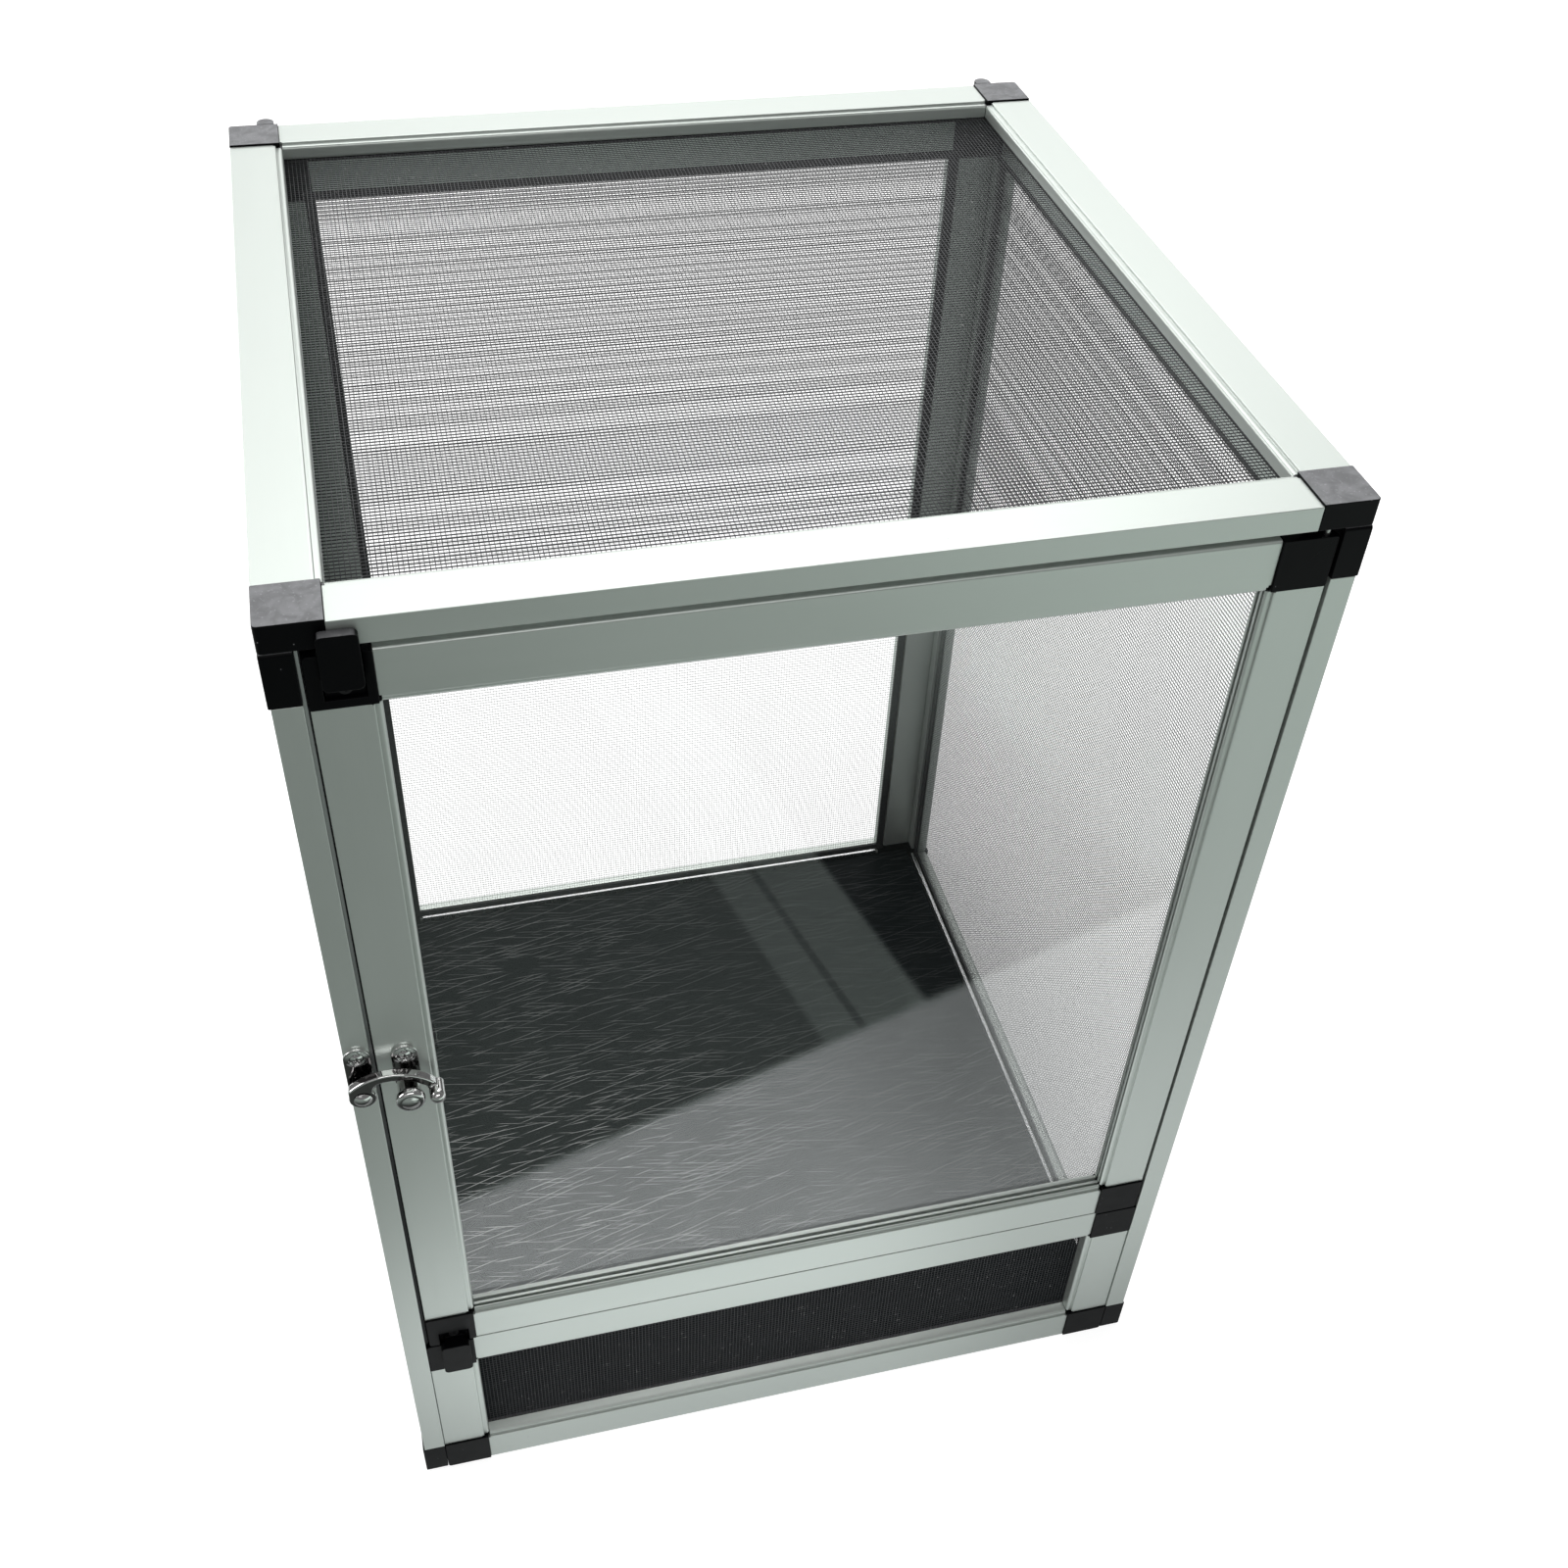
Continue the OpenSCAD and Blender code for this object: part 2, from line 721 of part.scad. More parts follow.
module clip_pocket(hold) {
    wide = clip_w + 2 * pocket_fit;
    translate([-wide / 2, -cut, -cut]) cube([wide, pocket_d + cut, hold + foot_l + pocket_fit + cut]);
    translate([0, 0, hold + foot_l / 2]) clip_hole(screw_r, panel_t - rib_t);
}

// A clip: a tongue over the gap, a root that fills the pocket behind it and a foot with a screw
module clip_shape(hold) {
    flat = clip_w / 2 - clip_r;
    difference() {
        union() {
            translate([0, -face_gap, hold - clip_l]) rotate([90, 0, 0]) linear_extrude(clip_t) {
                translate([-flat, 0]) square([2 * flat, clip_l]);
                translate([-clip_w / 2, clip_r]) square([clip_w, clip_l - 2 * clip_r]);
                for (x = [-flat, flat], z = [clip_r, clip_l - clip_r]) translate([x, z]) circle(clip_r);
            }
            translate([-flat, -face_gap - clip_t / 2, pocket_fit])
                cube([2 * flat, pocket_d + face_gap + clip_t / 2, hold - pocket_fit]);
            translate([-clip_w / 2, pocket_d - foot_t, pocket_fit])
                cube([clip_w, foot_t, hold + foot_l - pocket_fit]);
        }
        translate([0, 0, hold + foot_l / 2]) clip_hole(screw_r, pocket_d + cut);
    }
}

module upper_stop_clip() { color(BLACK) upper_clip_place() clip_shape(upper_clip_hold); }
module lower_stop_clip() { color(BLACK) lower_clip_place() clip_shape(lower_clip_hold); }

// A cross-shaped recess, cut backwards from a screw head's front at a given height
module cross_recess(front) {
    for (turn = [0, 90]) rotate([0, turn, 0])
        translate([-recess_l / 2, -front - cut, -recess_w / 2])
            cube([recess_l, recess_d + cut, recess_w]);
}

// The screws that hold the clips' feet in their pockets
module clip_screw(hold) {
    seat = pocket_d - foot_t;
    head_h = screw_r / 2;
    translate([0, seat, hold + foot_l / 2]) difference() {
        union() {
            forward(1.7 * screw_r, head_h);
            forward(screw_r, head_h / 2, foot_t + screw_r * 2);
        }
        cross_recess(head_h);
    }
}

module clip_screws() {
    color(CHROME) {
        upper_clip_place() clip_screw(upper_clip_hold);
        lower_clip_place() clip_screw(lower_clip_hold);
    }
}

// ---- Hook latch ----

// A plate with round ends, one at the origin and one at a height, with its back on the plane y = 0
module round_plate(up) {
    rotate([90, 0, 0]) linear_extrude(plate_t) {
        circle(plate_w / 2);
        translate([-plate_w / 2, 0]) square([plate_w, up]);
        translate([0, up]) circle(plate_w / 2);
    }
}

// A cylinder that runs forwards from the plane y = 0
module forward(r, h, back = 0) {
    translate([0, back, 0]) rotate([90, 0, 0]) cylinder(r = r, h = h + back);
}

// A dome of a given radius and height, in front of the plane y = 0
module dome(r, h) {
    ball_r = (pow(r, 2) + pow(h, 2)) / (2 * h);
    intersection() {
        translate([0, ball_r - h, 0]) sphere(r = ball_r, $fn = 96);
        forward(r + cut, h + cut);
    }
}

module at_hook() { translate([plate_x, front_y, latch_h]) children(); }
module at_stud() { translate([stud_x, front_y + corner_proud, latch_h]) children(); }

// Holes in a bar's wall for a plate's screw and for the shank below it
module plate_bores(up) {
    translate([0, 0, up]) forward(screw_r, cut, 2 * bar_wall);
    forward(hook_pin_r, cut, 2 * bar_wall);
}

module post_bores() { at_hook() plate_bores(post_screw_up); }
module keeper_bores() { at_stud() plate_bores(keeper_screw_up); }

// A plate with a domed seat for its screw and a hole for a shank
module latch_plate(up) {
    head_r = 2 * screw_r + pocket_fit;
    difference() {
        union() {
            round_plate(up);
            translate([0, -plate_t, up]) dome(plate_w / 2 - dome_rim, dome_h);
            children();
        }
        translate([0, 0, up]) forward(screw_r, plate_t + dome_h + cut, cut);
        translate([0, -plate_t, up]) forward(head_r, dome_h + cut);
        forward(hook_pin_r, 4 * plate_t, cut);
    }
}

// A plate's screw: its head fills the seat and its shank runs into the bar
module plate_screw(up) {
    translate([0, -plate_t, up]) difference() {
        union() {
            dome(2 * screw_r, dome_h);
            forward(screw_r, dome_h / 4, screw_l + plate_t);
        }
        cross_recess(dome_h);
    }
}

module post_plate() {
    color(CHROME) at_hook() latch_plate(post_screw_up)
        // Boss behind the hook's eye
        forward(0.8 * eye_r, front_y - hook_back - face_gap);
}

module post_screw() { color(CHROME) at_hook() plate_screw(post_screw_up); }

// The pivot that carries the hook: a shank through plate and post, with a domed head
module hook_pivot() {
    reach = front_y - hook_front + face_gap;
    color(CHROME) at_hook() {
        forward(hook_pin_r, reach + cut / 2, screw_l);
        translate([0, -reach, 0]) dome(0.68 * eye_r, 0.3 * eye_r);
    }
}

// Outline of the hook, seen from the front with its eye at the origin
module hook_outline() {
    stem = 0.78 * eye_r;
    curve_r = 0.8 * eye_r;
    curve_x = stem + curve_r;
    curve_z = bow_z + sqrt(pow(bow_in_r, 2) - pow(curve_x - bow_x, 2)) - curve_r;
    far = 3 * hook_reach;
    difference() {
        union() {
            circle(eye_r);
            intersection() {
                translate([bow_x, bow_z]) circle(bow_out_r, $fn = 128);
                union() {
                    translate([-0.97 * eye_r, 0]) square([0.97 * eye_r + stem, far]);
                    difference() {
                        translate([stem - cut, curve_z]) square([curve_r + cut, far]);
                        translate([curve_x, curve_z]) circle(curve_r);
                    }
                    // The bowed arm, from the stem to the grip
                    difference() {
                        polygon([
                            [bow_x, bow_z],
                            [bow_x + far * cos(grip_angle), bow_z + far * sin(grip_angle)],
                            [bow_x + far, bow_z + far],
                            [curve_x - cut / 2, bow_z + far],
                            [curve_x - cut / 2, bow_z]
                        ]);
                        translate([bow_x, bow_z]) circle(bow_in_r, $fn = 128);
                    }
                }
            }
        }
        circle(hook_pin_r + hook_fit);
    }
}

module latch_hook() {
    color(CHROME) at_hook() translate([0, hook_back - front_y, 0]) {
        rotate([90, 0, 0]) linear_extrude(hook_t) hook_outline();
        // The grip: a round finger with a ball end
        translate([grip_x, 0, grip_z]) {
            forward(grip_r, hook_t + grip_out);
            translate([0, -hook_t - grip_out, 0]) sphere(r = grip_r);
        }
    }
}

module keeper_plate() { color(CHROME) at_stud() latch_plate(keeper_screw_up); }
module keeper_screw() { color(CHROME) at_stud() plate_screw(keeper_screw_up); }

// The stud: a shank through the keeper plate, a neck that the hook drops over and a round knob
module keeper_stud() {
    neck_l = front_y + corner_proud - plate_t - hook_front + neck_show;
    flat_r = knob_r - knob_round;
    color(CHROME) at_stud() {
        forward(hook_pin_r, plate_t + cut, screw_l);
        translate([0, -plate_t, 0]) forward(neck_r, neck_l + cut);
        translate([0, -plate_t - neck_l, 0]) rotate([90, 0, 0]) rotate_extrude() {
            square([flat_r, knob_t]);
            translate([0, knob_round]) square([knob_r, knob_t - 2 * knob_round]);
            for (z = [knob_round, knob_t - knob_round]) translate([flat_r, z]) circle(knob_round);
        }
        translate([0, -plate_t - neck_l - knob_t, 0]) dome(flat_r - dome_rim, knob_dome);
    }
}

// ---- The nodes ----

top_front_rail();
top_rear_rail();
top_left_rail();
top_right_rail();
top_corners();
top_mesh();
top_spline();
left_front_post();
left_rear_post();
left_upper_rail();
left_lower_rail();
left_corners();
left_mesh();
left_spline();
right_front_post();
right_rear_post();
right_upper_rail();
right_lower_rail();
right_corners();
right_mesh();
right_spline();
back_left_stile();
back_right_stile();
back_upper_rail();
back_lower_rail();
back_corners();
back_mesh();
back_spline();
vent_left_stile();
vent_right_stile();
vent_upper_rail();
vent_lower_rail();
vent_corners();
vent_mesh();
vent_spline();
floor_board();
floor_ledges();
panel_pegs();
rear_lugs();
door_stop_strip();
door_left_stile();
door_right_stile();
door_upper_rail();
door_lower_rail();
door_corners();
door_pane();
hinge_pins();
post_plate();
post_screw();
hook_pivot();
latch_hook();
keeper_plate();
keeper_screw();
keeper_stud();
upper_stop_clip();
lower_stop_clip();
clip_screws();
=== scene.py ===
"""A knock-down mesh terrarium: five framed mesh panels, a glazed door, a floor board and a hook latch."""

import functools
import logging
import math
from abc import ABC, abstractmethod
from dataclasses import dataclass
from enum import Enum

import bmesh
import bpy
from mathutils import Matrix, Vector, noise


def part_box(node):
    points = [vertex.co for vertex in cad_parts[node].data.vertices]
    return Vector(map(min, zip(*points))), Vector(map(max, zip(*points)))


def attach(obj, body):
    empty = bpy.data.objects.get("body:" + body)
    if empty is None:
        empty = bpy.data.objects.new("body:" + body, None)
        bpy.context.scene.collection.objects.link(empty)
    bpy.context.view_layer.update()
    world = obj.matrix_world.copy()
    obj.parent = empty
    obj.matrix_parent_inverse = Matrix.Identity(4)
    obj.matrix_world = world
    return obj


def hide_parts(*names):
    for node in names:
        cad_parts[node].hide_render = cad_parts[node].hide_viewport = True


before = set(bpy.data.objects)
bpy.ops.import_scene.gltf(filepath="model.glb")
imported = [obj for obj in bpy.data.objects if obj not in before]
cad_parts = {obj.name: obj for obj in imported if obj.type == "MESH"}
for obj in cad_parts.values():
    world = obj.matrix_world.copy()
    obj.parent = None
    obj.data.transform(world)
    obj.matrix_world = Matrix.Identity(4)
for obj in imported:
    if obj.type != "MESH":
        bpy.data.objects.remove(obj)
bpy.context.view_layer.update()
MM = 0.001

log = logging.getLogger("terrarium")


class Body(Enum):
    """The bodies that pieces ride on."""

    ENCLOSURE = "enclosure"
    DOOR = "door"
    HOOK = "hook_arm"


class Slot(Enum):
    """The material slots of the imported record."""

    BAR = "aluminium_bar"
    PLASTIC = "black_plastic"
    MESH = "woven_mesh"
    SPLINE = "spline_cord"
    BOARD = "floor_board"
    PANE = "clear_pane"
    LATCH = "latch_chrome"
    STEEL = "steel_pin"


class Axis(Enum):
    """The three axes of the frame."""

    X = 0
    Y = 1
    Z = 2

    @property
    def unit(self) -> Vector:
        """The axis as a unit vector."""
        return Vector([1.0 if i == self.value else 0.0 for i in range(3)])

    def stretched(self, along: float, across: float) -> tuple[float, float, float]:
        """Gives a scale for a pattern that runs along this axis.

        Args:
            along: Pattern scale along the axis, per metre.
            across: Pattern scale across the axis, per metre.

        Returns:
            The scale on x, y and z.
        """
        return tuple(along if i == self.value else across for i in range(3))

    @classmethod
    def longest(cls, node: str) -> "Axis":
        """Finds the axis along which a CAD node is longest.

        Args:
            node: Name of the CAD node.

        Returns:
            The node's longest axis.
        """
        low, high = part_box(node)
        return cls(max(range(3), key=lambda i: high[i] - low[i]))

    @classmethod
    def thinnest(cls, node: str) -> "Axis":
        """Finds the axis along which a CAD node is thinnest.

        Args:
            node: Name of the CAD node.

        Returns:
            The node's shortest axis.
        """
        low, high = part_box(node)
        return cls(min(range(3), key=lambda i: high[i] - low[i]))


# ---- Shader maths ----


class Sock:
    """An output in a node tree. Arithmetic on it adds Math nodes."""

    def __init__(self, graph: "Graph", socket: bpy.types.NodeSocket | None) -> None:
        """Keeps the output and the graph that it is in."""
        self.graph = graph
        self.socket = socket

    def _math(self, operation: str, *values: "Sock | float") -> "Sock":
        """Adds a Math node.

        Args:
            operation: The node's operation.
            values: Its inputs in order.

        Returns:
            The node's output.
        """
        return self.graph.node("ShaderNodeMath", {"operation": operation}, dict(enumerate(values)))

    def __add__(self, other: "Sock | float") -> "Sock":
        """Self plus other."""
        return self._math("ADD", self, other)

    def __radd__(self, other: float) -> "Sock":
        """Other plus self."""
        return self._math("ADD", other, self)

    def __sub__(self, other: "Sock | float") -> "Sock":
        """Self minus other."""
        return self._math("SUBTRACT", self, other)

    def __rsub__(self, other: float) -> "Sock":
        """Other minus self."""
        return self._math("SUBTRACT", other, self)

    def __mul__(self, other: "Sock | float") -> "Sock":
        """Self times other."""
        return self._math("MULTIPLY", self, other)

    def __rmul__(self, other: float) -> "Sock":
        """Other times self."""
        return self._math("MULTIPLY", other, self)

    def __pow__(self, other: float) -> "Sock":
        """Self to the power of other."""
        return self._math("POWER", self, other)

    def __abs__(self) -> "Sock":
        """Self without its sign."""
        return self._math("ABSOLUTE", self)

    def larger(self, other: "Sock | float") -> "Sock":
        """The larger of self and other."""
        return self._math("MAXIMUM", self, other)

    def between(self, low: float, high: float) -> "Sock":
        """Maps a range smoothly to 0 to 1, clamped. A falling range gives a falling result.

        Args:
            low: The value that becomes 0.
            high: The value that becomes 1.

        Returns:
            The mapped value.
        """
        settings = {"interpolation_type": "SMOOTHSTEP", "clamp": True}
        return self.graph.node("ShaderNodeMapRange", settings,
                               {"Value": self, "From Min": low, "From Max": high})

    def output(self, name: str) -> "Sock":
        """Another output of the same node."""
        return Sock(self.graph, self.socket.node.outputs[name])


Value = Sock | float | tuple


class Graph:
    """The node tree of a material or of the world, with the few nodes that the finishes share."""

    def __init__(self, tree: bpy.types.NodeTree) -> None:
        """Empties the tree and keeps it."""
        tree.nodes.clear()
        self.tree = tree

    def node(self, kind: str, settings: dict | None = None, sockets: dict | None = None,
             out: int | str = 0) -> Sock:
        """Adds a node.

        Args:
            kind: The node's type.
            settings: Its properties, set first. "stops" gives a ramp's (position, colour) pairs.
            sockets: The values or links of its inputs, by name or index.
            out: The output to return.

        Returns:
            The chosen output.
        """
        made = self.tree.nodes.new(kind)
        for name, value in (settings or {}).items():
            if name == "stops":
                ramp = made.color_ramp
                while len(ramp.elements) < len(value):
                    ramp.elements.new(1.0)
                for element, (position, colour) in zip(ramp.elements, value):
                    element.position, element.color = position, colour
            else:
                setattr(made, name, value)
        for key, value in (sockets or {}).items():
            if isinstance(value, Sock):
                self.tree.links.new(value.socket, made.inputs[key])
            else:
                made.inputs[key].default_value = value
        return Sock(self, made.outputs[out] if len(made.outputs) else None)

    def point(self, scale: tuple[float, float, float] | float = 1.0,
              turn: tuple[float, float, float] = (0.0, 0.0, 0.0)) -> Sock:
        """Gives the object's own coordinates.

        Args:
            scale: Scale of the pattern, per metre.
            turn: Turn of the pattern about x, y and z, in radians.

        Returns:
            The scaled and turned coordinates.
        """
        if isinstance(scale, float):
            scale = (scale,) * 3
        place = self.node("ShaderNodeTexCoord", out="Object")
        return self.node("ShaderNodeMapping", {},
                         {"Vector": place, "Scale": scale, "Rotation": turn})

    def stretched(self, point: Sock, scale: tuple[float, float, float]) -> Sock:
        """Scales coordinates that have been turned already."""
        return self.node("ShaderNodeMapping", {}, {"Vector": point, "Scale": scale})

    def parts(self, vector: Sock) -> tuple[Sock, Sock, Sock]:
        """Splits a vector into its x, y and z."""
        x = self.node("ShaderNodeSeparateXYZ", {}, {"Vector": vector})
        return x, x.output("Y"), x.output("Z")

    def upward(self, none_below: float, full_from: float) -> Sock:
        """Marks the faces that point up.

        Args:
            none_below: The normal's height at which the mark is still 0.
            full_from: The normal's height at which it is 1.

        Returns:
            1 on upward faces and 0 on upright and downward ones.
        """
        normal = self.node("ShaderNodeNewGeometry", out="Normal")
        return self.parts(normal)[2].between(none_below, full_from)

    def clouds(self, point: Sock, detail: float = 2.0, warp: float = 0.0) -> Sock:
        """Adds a noise pattern.

        Args:
            point: The coordinates to read.
            detail: Octaves of the noise.
            warp: Distortion of the noise.

        Returns:
            The noise, from 0 to 1 and mostly near a half.
        """
        return self.node("ShaderNodeTexNoise", {},
                         {"Vector": point, "Scale": 1.0, "Detail": detail, "Distortion": warp})

    def specks(self, scale: float, size: float, share: float) -> Sock:
        """Adds rare round specks.

        Args:
            scale: Cells per metre, each with room for one speck.
            size: Radius of a speck, in cells.
            share: Share of the cells that hold a speck.

        Returns:
            1 on a speck and 0 beside it.
        """
        cells = self.node("ShaderNodeTexVoronoi", {}, {"Vector": self.point(scale), "Scale": 1.0})
        pick = self.node("ShaderNodeSeparateColor", {}, {"Color": cells.output("Color")})
        return cells.between(size, 0.6 * size) * pick.between(1.0 - share, 1.001 - share)

    def mixed(self, factor: Value, low: Value, high: Value) -> Sock:
        """Mixes two colours.

        Args:
            factor: 0 for the first colour and 1 for the second.
            low: The first colour.
            high: The second colour.

        Returns:
            The mixed colour.
        """
        return self.node("ShaderNodeMix", {"data_type": "RGBA"}, {0: factor, 6: low, 7: high}, 2)

    def bumped(self, height: Sock, distance: float, strength: float = 1.0) -> Sock:
        """Turns a height into a normal.

        Args:
            height: The height, from 0 to 1.
            distance: What a height of 1 stands for, in metres.
            strength: Strength of the bump.

        Returns:
            The bumped normal.
        """
        return self.node("ShaderNodeBump", {},
                         {"Height": height, "Distance": distance, "Strength": strength})


# ---- Finishes ----


def tone(red: float, green: float, blue: float) -> tuple[float, float, float, float]:
    """An opaque colour in linear light."""
    return (red, green, blue, 1.0)


@dataclass(frozen=True)
class Finish(ABC):
    """A finish that gives a surface its colour, gloss and texture."""

    @property
    @abstractmethod
    def title(self) -> str:
        """Name of the material."""

    @abstractmethod
    def channels(self, graph: Graph) -> dict[str, Value]:
        """The shader's inputs by name."""

    @functools.cache
    def material(self) -> bpy.types.Material:
        """Makes the material the first time it is asked for.

        Returns:
            The finish as a material.
        """
        made = bpy.data.materials.new(self.title)
        made.use_nodes = True
        graph = Graph(made.node_tree)
        shader = graph.node("ShaderNodeBsdfPrincipled", {}, self.channels(graph))
        graph.node("ShaderNodeOutputMaterial", {}, {"Surface": shader})
        return made


@dataclass(frozen=True)
class SatinAluminium(Finish):
    """Satin anodised bar with faint drawing lines along it and a few dust specks."""

    grain: Axis
    light: tuple = tone(0.60, 0.64, 0.61)
    dark: tuple = tone(0.53, 0.575, 0.54)
    gloss_loss: float = 0.40

    @property
    def title(self) -> str:
        """Name of the material."""
        return f"satin_aluminium_{self.grain.name.lower()}"

    def channels(self, graph: Graph) -> dict[str, Value]:
        """Gives the inputs: drawing lines and haze along the grain, and dust specks.

        Args:
            graph: The material's graph.

        Returns:
            The shader's inputs by name.
        """
        lines = graph.clouds(graph.point(self.grain.stretched(5.0, 1600.0)), 3.0)
        haze = graph.clouds(graph.point(self.grain.stretched(9.0, 60.0)), 3.0)
        specks = graph.specks(95.0, 0.045, 0.05)
        metal = graph.mixed(haze * 0.7 + lines * 0.3, self.dark, self.light)
        return {
            "Base Color": graph.mixed(specks * 0.6, metal, tone(0.12, 0.12, 0.12)),
            "Metallic": 0.80,
            "Roughness": self.gloss_loss + 0.10 * (lines - 0.5) + 0.12 * (haze - 0.5),
            "Normal": graph.bumped(lines, 4e-6, 0.35),
        }


@dataclass(frozen=True)
class MillAluminium(Finish):
    """Bare bright aluminium trim with lines along it."""

    grain: Axis

    @property
    def title(self) -> str:
        """Name of the material."""
        return f"mill_aluminium_{self.grain.name.lower()}"

    def channels(self, graph: Graph) -> dict[str, Value]:
        """Gives the inputs: fine lines along the grain, over a soft haze.

        Args:
            graph: The material's graph.

        Returns:
            The shader's inputs by name.
        """
        lines = graph.clouds(graph.point(self.grain.stretched(8.0, 2600.0)), 3.0)
        haze = graph.clouds(graph.point(45.0), 3.0)
        return {
            "Base Color": graph.mixed(lines, tone(0.78, 0.79, 0.79), tone(0.92, 0.93, 0.93)),
            "Metallic": 1.0,
            "Roughness": 0.24 + 0.16 * (lines - 0.5) + 0.14 * (haze - 0.5),
            "Normal": graph.bumped(lines, 5e-6, 0.4),
        }


@dataclass(frozen=True)
class SeamAluminium(MillAluminium):
    """Bare trim in a seam, with painted shade that darkens it further down."""

    clean_from: float = 0.47
    black_from: float = 0.20

    @property
    def title(self) -> str:
        """Name of the material."""
        return "seam_aluminium"

    def channels(self, graph: Graph) -> dict[str, Value]:
        """Gives the inputs: those of the bare trim, under painted shade that deepens downwards.

        Args:
            graph: The material's graph.

        Returns:
            The shader's inputs by name.
        """
        clean = super().channels(graph)
        height = graph.parts(graph.point())[2]
        patches = graph.clouds(graph.point(Axis.Z.stretched(60.0, 300.0)), 3.0)
        # painted shade: the trim is painted darker towards the bottom of the seam, where shade falls
        grime = (height + 0.08 * (patches - 0.5)).between(self.clean_from, self.black_from)
        colour = graph.mixed(0.35 + 0.62 * grime, clean["Base Color"], tone(0.02, 0.022, 0.024))
        return clean | {"Base Color": colour, "Roughness": 0.32 + 0.25 * grime}


@dataclass(frozen=True)
class MouldedPlastic(Finish):
    """Black satin plastic with a fine moulded grain; its upward faces near the top carry dust and a
    painted sheen.
    """

    dust: float = 1.0
    dusty_from: float = 488.5 * MM

    @property
    def title(self) -> str:
        """Name of the material."""
        return f"moulded_plastic_{round(self.dust * 10)}"

    def channels(self, graph: Graph) -> dict[str, Value]:
        """Gives the inputs: a fine grain, under dust and a painted sheen on the top faces.

        Args:
            graph: The material's graph.

        Returns:
            The shader's inputs by name.
        """
        height = graph.parts(graph.point())[2]
        up = graph.upward(0.7, 0.95) * height.between(self.dusty_from, self.dusty_from + 1 * MM)
        grain = graph.clouds(graph.point(2600.0), 2.0)
        smears = graph.clouds(graph.point(170.0), 4.0, 0.6)
        motes = graph.clouds(graph.point(900.0), 2.0).between(0.60, 0.70)
        # dust and painted sheen: upward faces near the top are painted lighter, partly for dust and
        # partly for the overhead light they catch
        veil = up * self.dust * (0.55 + 0.25 * smears.between(0.30, 0.70) + 0.25 * motes)
        flecks = graph.specks(420.0, 0.10, 0.10) * 0.5
        return {
            "Base Color": graph.mixed(veil.larger(flecks * self.dust),
                                      tone(0.0009, 0.001, 0.0016), tone(0.30, 0.305, 0.315)),
            "Specular IOR Level": 0.10,
            "Roughness": 0.42 + 0.12 * (smears - 0.5) + 0.18 * veil,
            "Normal": graph.bumped(grain, 2.2e-5, 0.35),
        }


@dataclass(frozen=True)
class CoatedWire(Finish):
    """Charcoal plastic coat on the mesh's wires, with lint caught here and there."""

    @property
    def title(self) -> str:
        """Name of the material."""
        return "coated_wire"

    def channels(self, graph: Graph) -> dict[str, Value]:
        """Gives the inputs: a coat that varies a little, with specks of lint.

        Args:
            graph: The material's graph.

        Returns:
            The shader's inputs by name.
        """
        shade = graph.clouds(graph.point(30.0), 3.0)
        lint = graph.clouds(graph.point(420.0), 2.0).between(0.66, 0.72)
        coat = graph.mixed(shade, tone(0.030, 0.032, 0.034), tone(0.050, 0.052, 0.055))
        return {
            "Base Color": graph.mixed(lint * 0.5, coat, tone(0.30, 0.30, 0.30)),
            "Roughness": 0.46 + 0.2 * (shade - 0.5),
        }


@dataclass(frozen=True)
class SplineRubber(Finish):
    """Soft black cord with fine ribs around it."""

    run: Axis

    @property
    def title(self) -> str:
        """Name of the material."""
        return f"spline_rubber_{self.run.name.lower()}"

    def channels(self, graph: Graph) -> dict[str, Value]:
        """Gives the inputs: ribs across the run, and patches of wear.

        Args:
            graph: The material's graph.

        Returns:
            The shader's inputs by name.
        """
        settings = {"wave_type": "BANDS", "bands_direction": self.run.name}
        ribs = graph.node("ShaderNodeTexWave", settings,
                          {"Vector": graph.point(90.0), "Scale": 1.0, "Distortion": 0.4}, "Fac")
        wear = graph.clouds(graph.point(300.0), 3.0)
        return {
            "Base Color": graph.mixed(wear, tone(0.012, 0.012, 0.013), tone(0.026, 0.026, 0.028)),
            "Roughness": 0.55 + 0.2 * (wear - 0.5),
            "Normal": graph.bumped(ribs, 1.5e-4, 0.6),
        }


@dataclass(frozen=True)
class FibreRun:
    """One set of fibres: its turn from x, its density and its strength."""

    turn: float
    per_metre: float
    curl: float
    strength: float


